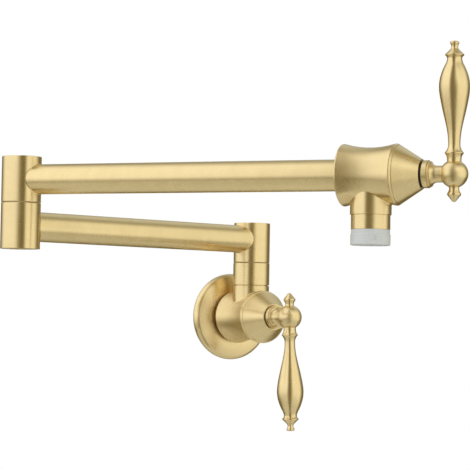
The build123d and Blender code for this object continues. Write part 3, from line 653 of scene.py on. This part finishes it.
def brushed_metal(name, dark, light, roughness, relief=0.12, distance=0.00002, pull=0.8):
    """Metal brushed round its axis, with lines, faint bands and a pulled highlight."""
    material, shop, shader = finish_base(name, Metallic=1.0, Anisotropic=pull)
    turning = shop.add("ShaderNodeUVMap", uv_map="turning").outputs["UV"]
    grain = shop.add("ShaderNodeGroup", {"Turning": turning}, node_tree=turning_lines).outputs
    place = shop.add("ShaderNodeTexCoord").outputs["Object"]
    clouds = shop.add("ShaderNodeGroup", {"Place": place}, node_tree=mottle).outputs
    shop.join(blended_colour(shop, grain["Tone"], dark, light), shader.inputs["Base Color"])
    shop.join(ranged(shop, clouds["Cloud"], *roughness), shader.inputs["Roughness"])
    bumped(shop, shader, grain["Height"], relief, distance)
    tangent = shop.add("ShaderNodeTangent", direction_type="UV_MAP", uv_map="turning")
    shop.join(tangent.outputs[0], shader.inputs["Tangent"])
    return material


def plain_finish(
    name, dark, light, roughness, grain=2500.0, relief=0.1, distance=0.00003, **values
):
    """Any other material: mottled colour and gloss with a fine relief."""
    material, shop, shader = finish_base(name, **values)
    place = shop.add("ShaderNodeTexCoord").outputs["Object"]
    given = {"Place": place, "Grain": grain}
    texture = shop.add("ShaderNodeGroup", given, node_tree=mottle).outputs
    shop.join(blended_colour(shop, texture["Cloud"], dark, light), shader.inputs["Base Color"])
    shop.join(ranged(shop, texture["Cloud"], *roughness), shader.inputs["Roughness"])
    bumped(shop, shader, texture["Fine"], relief, distance)
    return material


gold = brushed_metal("brushed_gold", (0.79, 0.62, 0.335), (0.82, 0.65, 0.36), (0.25, 0.31))
finishes = {
    "gold": gold,
    "raw_brass": plain_finish(
        "machined_brass", (0.66, 0.50, 0.24), (0.74, 0.58, 0.30), (0.28, 0.36), Metallic=1.0
    ),
    "steel": plain_finish(
        "bright_steel", (0.56, 0.56, 0.55), (0.62, 0.62, 0.61), (0.24, 0.32), Metallic=1.0
    ),
    "rubber": plain_finish("black_rubber", (0.012, 0.012, 0.012), (0.02, 0.02, 0.02), (0.5, 0.62)),
    "seal": plain_finish("seal_rubber", (0.02, 0.02, 0.02), (0.035, 0.035, 0.034), (0.5, 0.65)),
    "foam": plain_finish(
        "gasket_foam", (0.02, 0.02, 0.02), (0.045, 0.045, 0.045), (0.85, 0.95), 1400.0, 0.8, 0.0003
    ),
    "ceramic": plain_finish("lapped_ceramic", (0.80, 0.79, 0.74), (0.85, 0.84, 0.80), (0.12, 0.2)),
    "acetal": plain_finish("white_acetal", (0.78, 0.78, 0.75), (0.83, 0.83, 0.80), (0.35, 0.45)),
    "slip": plain_finish(
        "bronze_slip_plastic", (0.34, 0.24, 0.11), (0.40, 0.285, 0.135), (0.4, 0.5)
    ),
    "aerator": plain_finish("milky_plastic", (0.60, 0.61, 0.64), (0.65, 0.66, 0.69), (0.28, 0.36)),
}


# ---- wall fitting --------------------------------------------------------------------

GASKET_INNER_R = 27.5
GASKET_OUTER_R = 31.5
GASKET_DEPTH = 1.4
NUT_GROOVE_DEPTH = 1.2
NUT_GROOVE_HEIGHT = 0.6
THREAD_ROOT_R = 9.32
THREAD_R = 10.48
THREAD_PITCH = 1.814
THREAD_TURNS = 9
THREAD_FOOT = 1.55
THREAD_CREST = 0.5
THREAD_STOP = 0.3           # turns that the ridge stops short of each end
THREAD_SWELL = 24.0         # the ridge grows to full size over 1/24 of its length


def make_thread_tree():
    """Ridge of a screw thread: a trapezoid swept along a helix, thinned out at both ends."""
    tree = bpy.data.node_groups.new("helical_thread", "GeometryNodeTree")
    shop = Shop(tree)
    sizes = {
        "Turns": 9.0,
        "Pitch": 0.0018,
        "Root Radius": 0.0093,
        "Depth": 0.0012,
        "Foot": 0.0016,
        "Crest": 0.0006,
    }
    for label, default in sizes.items():
        socket = tree.interface.new_socket(label, in_out="INPUT", socket_type="NodeSocketFloat")
        socket.default_value = default
    tree.interface.new_socket("Finish", in_out="INPUT", socket_type="NodeSocketMaterial")
    tree.interface.new_socket("Geometry", in_out="OUTPUT", socket_type="NodeSocketGeometry")
    given = shop.add("NodeGroupInput").outputs
    winding = {
        "Resolution": 64,
        "Rotations": given["Turns"],
        "Start Radius": given["Root Radius"],
        "End Radius": given["Root Radius"],
        "Height": shop.sums("MULTIPLY", given["Turns"], given["Pitch"]),
    }
    helix = shop.add("GeometryNodeCurveSpiral", winding).outputs["Curve"]
    upright = shop.add("GeometryNodeSetCurveNormal", {"Curve": helix}, mode="Z_UP")
    along = shop.add("GeometryNodeSplineParameter").outputs["Factor"]
    nearest = shop.sums("MINIMUM", along, shop.sums("SUBTRACT", 1.0, along))
    swell = shop.sums("MINIMUM", shop.sums("MULTIPLY", nearest, THREAD_SWELL), 1.0)
    trapezoid = {
        "Offset": 0.0,
        "Bottom Width": given["Foot"],
        "Top Width": given["Crest"],
        "Height": given["Depth"],
    }
    tooth = shop.add("GeometryNodeCurvePrimitiveQuadrilateral", trapezoid, mode="TRAPEZOID")
    tilted = {"Geometry": tooth.outputs["Curve"], "Rotation": (0, 0, math.pi / 2)}
    swept = {
        "Fill Caps": True,
        "Curve": upright.outputs["Curve"],
        "Scale": swell,
        "Profile Curve": shop.add("GeometryNodeTransform", tilted).outputs["Geometry"],
    }
    ridge = {"Geometry": shop.add("GeometryNodeCurveToMesh", swept).outputs["Mesh"]}
    real = shop.add("GeometryNodeRealizeInstances", ridge).outputs["Geometry"]
    dressed = shop.add("GeometryNodeSetMaterial", {"Geometry": real, "Material": given["Finish"]})
    shop.join(dressed.outputs["Geometry"], shop.add("NodeGroupOutput").inputs["Geometry"])
    return tree


def connector_skin():
    """Inlet connector under its thread: root of the thread, shank and seal groove."""
    start = -THREAD_TURNS * THREAD_PITCH
    return turned(
        wall_front,
        (WATERWAY_R, start),
        (THREAD_ROOT_R, start),
        (THREAD_ROOT_R, 0.4),
        (12.5, 0.4),
        (12.5, 9.0),
        (11.3, 9.0),
        (11.3, 11.2),
        (12.5, 11.2),
        (12.5, 15.0),
        (10.0, 15.0),
        (10.0, 24.0),
        (WATERWAY_R, 24.0),
        ease=0.35,
    )


def thread_ridge():
    """Thread of the inlet, from the node tree, wound on the connector's root."""
    tree = make_thread_tree()
    values = {
        "Turns": THREAD_TURNS - 2 * THREAD_STOP,
        "Pitch": THREAD_PITCH * MM,
        "Root Radius": (THREAD_ROOT_R + THREAD_R) / 2 * MM,
        "Depth": (THREAD_R - THREAD_ROOT_R) * MM,
        "Foot": THREAD_FOOT * MM,
        "Crest": THREAD_CREST * MM,
        "Finish": finishes["raw_brass"],
    }
    holder = bpy.data.objects.new("thread_source", bpy.data.meshes.new("thread_source"))
    scene.collection.objects.link(holder)
    winding = holder.modifiers.new("winding", "NODES")
    winding.node_group = tree
    for socket in tree.interface.items_tree:
        if socket.in_out == "INPUT":
            winding[socket.identifier] = values[socket.name]
    seen = holder.evaluated_get(bpy.context.evaluated_depsgraph_get())
    mesh = bpy.data.meshes.new_from_object(seen)
    holder.modifiers.remove(winding)
    bpy.data.objects.remove(holder)
    mesh.name = "inlet_thread_ridge"
    mesh.transform(shifted(wall_front, (-THREAD_TURNS + THREAD_STOP) * THREAD_PITCH))
    ridge = bpy.data.objects.new("inlet_thread_ridge", mesh)
    scene.collection.objects.link(ridge)
    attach(ridge, body_of["inlet_connector"])


def build_wall_fitting():
    """Flange, gasket and inlet at the wall, and the nut on the valve's boss."""
    flange = turned(
        wall_front,
        (12.6, 0),
        (15.0, 0),
        (15.0, 8.6),
        (18.0, 8.6),
        ((22.5, 8.25), (26.5, 7.2)),
        (26.5, 0),
        (GASKET_INNER_R, 0),
        (GASKET_INNER_R, GASKET_DEPTH),
        (GASKET_OUTER_R, GASKET_DEPTH),
        (GASKET_OUTER_R, 0),
        (33.0, 0),
        ((35.2, 4.4), (32.4, 8.3)),
        ((25.5, 10.2), (18.0, 10.9)),
        (14.85, 10.9),
        (14.85, 13.6),
        (12.6, 13.6),
        ease=0.35,
        around=AROUND_FLANGE,
    )
    gasket = sleeve(wall_front, GASKET_INNER_R, GASKET_OUTER_R, 0.0, GASKET_DEPTH)
    piece("flange_turned", gold, [flange], "wall_flange")
    piece("gasket_ring", finishes["foam"], [gasket], "wall_gasket")
    piece("connector_turned", finishes["raw_brass"], [connector_skin()], "inlet_connector")
    thread_ridge()
    nut = turned(
        wall_stack,
        (12.0, BOSS_TOP),
        (NUT_R - NUT_GROOVE_DEPTH, BOSS_TOP),
        (NUT_R - NUT_GROOVE_DEPTH, BOSS_TOP + NUT_GROOVE_HEIGHT),
        (NUT_R, BOSS_TOP + NUT_GROOVE_HEIGHT),
        (NUT_R, NUT_TOP),
        (8.1, NUT_TOP),
        (8.1, 32.1),
        (12.0, 32.1),
    )
    piece("nut_turned", gold, [nut], "swivel_nut")


# ---- valves --------------------------------------------------------------------------

WALL_SEAL_R = 0.45          # radius of each handle O-ring's section
OUTLET_SEAL_R = 0.62


def barrel_skin(base):
    """Waisted barrel with its bonnet spigot, hollow down to the rear bore."""
    return turned(
        base,
        (WATERWAY_R, BARREL_REAR),
        (WATERWAY_R, -6.0),
        (13.0, -4.5),
        (13.0, 9.0),
        (10.5, 9.0),
        (10.5, 16.0),
        (12.1, 16.0),
        (12.1, 23.5),
        (15.0, 23.5),
        (15.0, BARREL_FRONT),
        (20.85, BARREL_FRONT),
        (21.15, 18.5),
        (21.15, 18.2),
        BARREL_ARC,
        ((21.25, -19.7), (20.6, BARREL_REAR)),
        ease=0.2,
        around=AROUND_BARREL,
    )


def bonnet_skin(base):
    """Cone over the cartridge, with a fine bead groove near its base."""
    return turned(
        base,
        (15.0, BARREL_FRONT),
        (15.0, 24.0),
        (13.4, 25.0),
        (8.8, 33.4),
        (7.1, 33.4),
        (7.1, 36.5),
        (9.8, 36.5),
        ((10.3, 36.4), (10.5, 36.2)),
        (20.05, 20.75),
        (19.82, 20.4),
        (20.37, 20.2),
        (21.15, 19.1),
        (20.85, BARREL_FRONT),
        ease=0.12,
        around=AROUND_BARREL,
    )


def hub_skin(base):
    """Stepped collar, neck and ball of a handle, on the valve's axis."""
    meet = BALL_STATION - math.sqrt(BALL_R ** 2 - NECK_R ** 2)
    return turned(
        base,
        (0, 36.9),
        (COLLAR_SEAT_R, 36.9),
        (COLLAR_SEAT_R, COLLAR_BACK),
        (9.5, COLLAR_BACK),
        (9.5, 41.4),
        (8.45, 41.5),
        (8.8, 41.9),
        (8.8, 42.7),
        (7.75, 43.2),
        ((6.3, 44.9), (NECK_R, 47.2)),
        (NECK_R, meet),
        ((BALL_R, BALL_STATION), (0, BALL_STATION + BALL_R)),
        ease=0.3,
    )


def seal_skin(base, section_r):
    """Round O-ring behind the handle's collar."""
    ring_r = COLLAR_SEAT_R + section_r
    middle = COLLAR_BACK - section_r
    start = (ring_r - section_r, middle)
    lower_half = ((ring_r, middle - section_r), (ring_r + section_r, middle))
    upper_half = ((ring_r, middle + section_r), start)
    return turned(base, start, lower_half, upper_half, ease=0.1)


def lever_skin(base):
    """Turned baluster lever: foot, sharp bead, slim neck, belly, second bead and tip."""
    belly = [
        (4.8, 28.4),
        (7.4, 40.3),
        (9.65, 51.0),
        (10.5, 59.5),
        (8.98, 67.6),
        (6.85, 72.7),
        (5.1, 77.6),
    ]
    return turned(
        base,
        (0, 6.0),
        (4.9, 6.0),
        (4.9, 9.6),
        ((5.05, 11.3), (5.5, 12.6)),
        (6.45, 13.9),
        (6.4, 14.3),
        ((5.0, 16.2), (4.1, 20.0)),
        belly,
        ((5.25, 78.5), (5.65, 79.1)),
        (6.55, 80.0),
        (6.5, 80.4),
        (2.7, 84.2),
        ((2.3, 85.6), (2.7, 87.3)),
        ((3.1, 88.6), (2.5, 89.35)),
        dome(2.5, 89.35, 89.7),
        ease=0.28,
    )


def finial_skin(base):
    """Acorn opposite the lever."""
    return turned(
        base,
        (0, 6.5),
        (3.6, 6.5),
        (3.6, 8.85),
        ((3.4, 10.1), (3.75, 11.6)),
        (4.6, 13.1),
        ((4.78, 13.8), (4.6, 14.4)),
        ((3.0, 16.3), (1.4, 18.4)),
        dome(1.4, 18.4, 19.0),
        ease=0.3,
    )


def build_handle(valve, base, seal_r):
    """Handle and bonnet of one valve. The frame's Y points along the lever."""
    ball = shifted(base, BALL_STATION)
    seal = seal_skin(base, seal_r)
    lever_way = ball @ Matrix.Rotation(-math.pi / 2, 4, "X")
    finial_way = ball @ Matrix.Rotation(math.pi / 2, 4, "X")
    piece(valve + "_hub_turned", gold, [hub_skin(base)], valve + "_handle_hub")
    piece(valve + "_lever_turned", gold, [lever_skin(lever_way)], valve + "_lever")
    piece(valve + "_finial_turned", gold, [finial_skin(finial_way)], valve + "_finial")
    piece(valve + "_seal_ring", finishes["rubber"], [seal], valve + "_handle_seal")
    piece(valve + "_bonnet_turned", gold, [bonnet_skin(base)], valve + "_bonnet")


def build_valves():
    """Both valve bodies, each a barrel and a boss, with their bonnets and handles."""
    along_wall = stand(swivel_point, UP, UP.cross(wall_way))
    nut_seat = [(HUB_R, BOSS_TOP), (12.0, BOSS_TOP), (12.0, 32.1), (7.6, 32.1)]
    wall_boss = boss_skin(along_wall, HUB_R, nut_seat)
    piece("wall_body_turned", gold, [barrel_skin(wall_valve), wall_boss], "wall_valve_body")
    down_spout = stand(spout_point, -UP, (-UP).cross(outlet_way))
    ring_seat = [(BOSS_R, SPOUT_TOP), (11.5, SPOUT_TOP), (11.5, 33.5), (8.0, 33.5)]
    spout_boss = boss_skin(down_spout, BOSS_R, ring_seat)
    outlet_barrel = barrel_skin(outlet_valve)
    piece("outlet_body_turned", gold, [outlet_barrel, spout_boss], "outlet_valve_body")
    build_handle("wall", wall_handle, WALL_SEAL_R)
    build_handle("outlet", outlet_handle, OUTLET_SEAL_R)


# ---- arms ----------------------------------------------------------------------------

SLIP_GAP = 0.05             # air under a slip ring
TUBE_SEAT = 8.0             # how far the upper tube goes into its barrel's rear


def hub_sleeve(base, low, high, floor, ceiling):
    """Arm hub: outer sleeve with a softly rounded mouth, over an inner floor and hollow."""
    return turned(
        base,
        (SPINDLE_R, low),
        (HUB_R - 0.3, low),
        (HUB_R, low + 0.3),
        (HUB_R, high),
        (HUB_BORE_R, high),
        (HUB_BORE_R, ceiling),
        (HUB_BORE_R, floor),
        (SPINDLE_R, floor),
        ease=0.45,
    )


def plug(base, low, high):
    """Round cap that closes a hub."""
    return turned(base, (0, low), (HUB_BORE_R, low), (HUB_BORE_R, high), (0, high))


def build_arms():
    """Hubs with their caps and slip rings, and the two arm tubes."""
    cap_low = WALL_HUB_TOP - CAP
    wall_sleeve = hub_sleeve(wall_stack, WALL_HUB_LOW, WALL_HUB_TOP, WALL_HUB_LOW + 8.0, cap_low)
    wall_slip = sleeve(wall_stack, 8.0, SLIP_R, NUT_TOP + SLIP_GAP, WALL_HUB_LOW, 0.1)
    piece("wall_hub_turned", gold, [wall_sleeve], "wall_hub")
    piece("wall_hub_plug", gold, [plug(wall_stack, cap_low, WALL_HUB_TOP)], "wall_hub_cap")
    piece("swivel_slip", finishes["slip"], [wall_slip], "swivel_slip_ring")
    low = LOWER_ARM_Z - HALF_HUB
    middle = LOWER_ARM_Z + HALF_HUB
    bottom = UPPER_ARM_Z - HALF_HUB
    top = UPPER_ARM_Z + HALF_HUB
    lower = turned(
        elbow_stack,
        (HUB_BORE_R, low),
        (HUB_R, low),
        (HUB_R, middle - 0.3),
        (HUB_R - 0.3, middle),
        (SPINDLE_R, middle),
        (SPINDLE_R, 70.4),
        (HUB_BORE_R, 70.4),
        (HUB_BORE_R, 55.0),
        (SPINDLE_R, 55.0),
        (SPINDLE_R, 50.5),
        (HUB_BORE_R, 50.5),
        ease=0.3,
    )
    upper = hub_sleeve(elbow_stack, bottom, top, bottom + 7.9, top - CAP)
    elbow_slip = sleeve(elbow_stack, 8.95, SLIP_R, middle + SLIP_GAP, bottom, 0.1)
    piece("lower_elbow_hub_turned", gold, [lower], "lower_elbow_hub")
    piece("upper_elbow_hub_turned", gold, [upper], "upper_elbow_hub")
    piece("elbow_slip", finishes["slip"], [elbow_slip], "elbow_slip_ring")
    piece("elbow_top_plug", gold, [plug(elbow_stack, top - CAP, top)], "elbow_top_cap")
    piece("elbow_bottom_plug", gold, [plug(elbow_stack, low, low + 1.9)], "elbow_bottom_cap")
    piece("lower_tube_drawn", gold, [tube_skin(lower_run, LOWER_ARM, True)], "lower_arm_tube")
    tube_end = UPPER_ARM + BARREL_REAR + TUBE_SEAT
    piece("upper_tube_drawn", gold, [tube_skin(upper_run, tube_end, False)], "upper_arm_tube")


# ---- spout ---------------------------------------------------------------------------

RIB_HEADING = -110          # side of the aerator's small upright rib, degrees from +X
RIB_AWAY = 13.85
RIB_STATION = 42.8
RIB_R = 0.55
RIB_HALF = 1.9
RING_LOW = 37.4             # where the aerator meets the spout's ring


def build_spout():
    """Spout ring, and the aerator's sleeve with its rib."""
    ring = sleeve(spout_drop, 11.5, 13.5, SPOUT_TOP, RING_LOW, 0.2)
    piece("spout_ring_turned", gold, [ring], "spout_ring")
    sleeve_skin = turned(
        spout_drop,
        (10.2, 35.0),
        (11.5, 35.0),
        (11.5, RING_LOW),
        (13.35, RING_LOW),
        (13.35, 40.4),
        (13.75, 40.9),
        (13.75, 47.2),
        ((13.5, 48.0), (13.0, 48.3)),
        (11.9, 48.3),
        (11.4, 47.7),
        (11.0, 46.6),
        (11.0, 36.2),
        (10.2, 36.2),
        ease=0.25,
    )
    side = math.radians(RIB_HEADING)
    aside = Matrix.Translation(Vector((math.cos(side), math.sin(side), 0)) * RIB_AWAY * MM)
    rib = turned(
        aside @ shifted(spout_drop, RIB_STATION),
        (0, -RIB_HALF),
        ((0.39, -1.74), (RIB_R, -1.3)),
        (RIB_R, 1.3),
        ((0.39, 1.74), (0, RIB_HALF)),
    )
    piece("aerator_moulded", finishes["aerator"], [sleeve_skin, rib], "aerator_housing")


def dress_hidden_nodes():
    """The CAD nodes that stay get their slot's finish."""
    for name, node in nodes.items():
        node.data.materials.clear()
        node.data.materials.append(finishes[slot_of[name]])


# ---- studio --------------------------------------------------------------------------

def heading(azimuth, elevation):
    """Direction by degrees: azimuth 0 is towards the camera, 90 to its right."""
    towards = Vector((back.x, back.y, 0)).normalized()
    aside = towards.cross(UP) * -1
    turn = math.radians(azimuth)
    level = towards * math.cos(turn) + aside * math.sin(turn)
    rise = math.radians(elevation)
    return level * math.cos(rise) + UP * math.sin(rise)


def make_soft_panel():
    """Mask of a far rectangular softbox with faded edges, by a direction from the tap."""
    shop, given, out = new_group(
        "soft_panel",
        {
            "Direction": None,
            "Facing": None,
            "Across": None,
            "Upright": None,
            "Half Width": 0.6,
            "Half Height": 0.6,
            "Fade": 0.1,
        },
        ("Mask",),
    )

    def reach(way):
        """How far the direction goes along one of the panel's axes."""
        return shop.vectors("DOT_PRODUCT", given["Direction"], given[way])["Value"]

    def inside(way, half):
        """One inside the panel's edges on one axis, fading to nothing outside."""
        angle = shop.sums("ABSOLUTE", shop.sums("ARCTAN2", reach(way), reach("Facing")))
        near = shop.sums("SUBTRACT", given[half], given["Fade"])
        far = shop.sums("ADD", given[half], given["Fade"])
        return shop.faded(angle, near, far)

    mask = shop.sums("MULTIPLY", inside("Across", "Half Width"), inside("Upright", "Half Height"))
    shop.join(mask, out["Mask"])
    return shop.tree


# Softboxes by azimuth and elevation, half width, half height and fade, all in degrees, and
# their light. The backdrop's sizes are in the same order.
SOFTBOXES = {
    "left_softbox": (-67, 34, (59, 50, 22), (1.04, 1.09, 1.15)),
    "right_softbox": (59, 10, (49, 46, 20), (0.92, 0.95, 0.92)),
    "rear_fill": (158, 45, (22, 30, 20), (0.5, 0.56, 0.62)),
    "front_fill": (14, 50, (18, 28, 16), (0.2, 0.21, 0.2)),
}
BACKDROP = (7.0, 7.0, 1.0)
ROOM = (0.18, 0.15, 0.06)


def panel_mask(shop, panel, way, name, axes, sizes):
    """One soft panel in the world, by the ways to it, across it and up it."""
    given = {"Direction": way}
    for label, axis in zip(("Facing", "Across", "Upright"), axes):
        given[label] = axis
    for label, size in zip(("Half Width", "Half Height", "Fade"), sizes):
        given[label] = math.radians(size)
    return shop.add("ShaderNodeGroup", given, node_tree=panel, name=name).outputs["Mask"]


def light_world():
    """Dim warm room with soft panels, and a white backdrop where the camera looks."""
    world = bpy.data.worlds.new("studio")
    scene.world = world
    world.use_nodes = True
    shop = Shop(world.node_tree)
    way = shop.add("ShaderNodeTexCoord").outputs["Generated"]
    panel = make_soft_panel()
    light = ROOM
    for name, (azimuth, elevation, sizes, glow) in SOFTBOXES.items():
        centre = heading(azimuth, elevation)
        across = heading(azimuth + 90, 0)
        axes = (centre, across, centre.cross(across))
        mask = panel_mask(shop, panel, way, name, axes, sizes)
        light = shop.vectors("MULTIPLY_ADD", mask, glow, light)["Vector"]
    backdrop = panel_mask(shop, panel, way, "backdrop", (-back, right, above), BACKDROP)
    ray = shop.add("ShaderNodeLightPath").outputs
    in_gloss = shop.sums("MAXIMUM", ray["Is Glossy Ray"], ray["Is Transmission Ray"])
    mirrored = shop.sums("MULTIPLY", backdrop, in_gloss)
    white = shop.sums("MAXIMUM", ray["Is Camera Ray"], mirrored)
    given = {"Factor": white, "A": light, "B": (1, 1, 1, 1)}
    tone = shop.add("ShaderNodeMix", given, data_type="RGBA").outputs["Result"]
    shop.join(tone, world.node_tree.nodes["Background"].inputs["Color"])


def sheet(name, corners, material):
    """Flat sheet of the studio."""
    mesh = bpy.data.meshes.new(name)
    mesh.from_pydata(corners, [], [range(len(corners))])
    mesh.materials.append(material)
    made = bpy.data.objects.new(name, mesh)
    scene.collection.objects.link(made)
    return made


# Card between the softboxes, in metres from the camera's aim: towards the camera, to its
# right, down and up, then the half widths of its solid middle and of the whole card.
FLAG_AWAY = 0.7
FLAG_ASIDE = -0.02
FLAG_DROP = 1.5
FLAG_RISE = 3.0
FLAG_CORE = 0.05
FLAG_HALF = 0.32


def hang_flag():
    """Tall dim card between the softboxes, fading out to both sides. Only reflections see it."""
    across = heading(90, 0)
    foot = CAMERA_AIM + heading(0, 0) * FLAG_AWAY + across * FLAG_ASIDE
    side = across * FLAG_HALF
    low = foot - UP * FLAG_DROP
    high = foot + UP * FLAG_RISE
    material, shop, shader = finish_base(
        "dim_flag",
        Base_Color=(0, 0, 0, 1),
        Specular_IOR_Level=0.0,
        Emission_Color=(*ROOM, 1),
        Emission_Strength=1.0,
    )
    place = shop.add("ShaderNodeTexCoord").outputs["Object"]
    along = shop.vectors("DOT_PRODUCT", place, across)["Value"]
    offset = shop.sums("SUBTRACT", along, foot.dot(across))
    fade = shop.faded(shop.sums("ABSOLUTE", offset), FLAG_CORE, FLAG_HALF)
    mirrored = shop.add("ShaderNodeLightPath").outputs["Is Glossy Ray"]
    shop.join(shop.sums("MULTIPLY", fade, mirrored), shader.inputs["Alpha"])
    flag = sheet("studio_flag", [low - side, low + side, high + side, high - side], material)


FLOOR_Z = -1.3
FLOOR_R = 3.2
FLOOR_CORE_R = 0.6 * FLOOR_R
FLOOR_SIDES = 96
FLOOR_SHIFT = heading(0, 0) * 1.3


def lay_floor():
    """Round pale floor under the tap. It fades out at its rim and shows from above only."""
    centre = UP * FLOOR_Z + FLOOR_SHIFT
    angles = np.arange(FLOOR_SIDES) * math.tau / FLOOR_SIDES
    rim = [centre + FLOOR_R * Vector((math.cos(a), math.sin(a), 0)) for a in angles]
    pale = (0.79, 0.79, 0.765, 1)
    material, shop, shader = finish_base("pale_floor", Roughness=0.9, Base_Color=pale)
    place = shop.add("ShaderNodeTexCoord").outputs["Object"]
    flat = shop.vectors("MULTIPLY_ADD", place, (1, 1, 0), -FLOOR_SHIFT)["Vector"]
    distance = shop.vectors("LENGTH", flat)["Value"]
    fade = shop.faded(distance, FLOOR_CORE_R, FLOOR_R)
    front = shop.sums("SUBTRACT", 1.0, shop.add("ShaderNodeNewGeometry").outputs["Backfacing"])
    shop.join(shop.sums("MULTIPLY", fade, front), shader.inputs["Alpha"])
    floor = sheet("studio_floor", rim, material)


place_camera()
build_wall_fitting()
build_valves()
build_arms()
build_spout()
dress_hidden_nodes()
light_world()
hang_flag()
lay_floor()
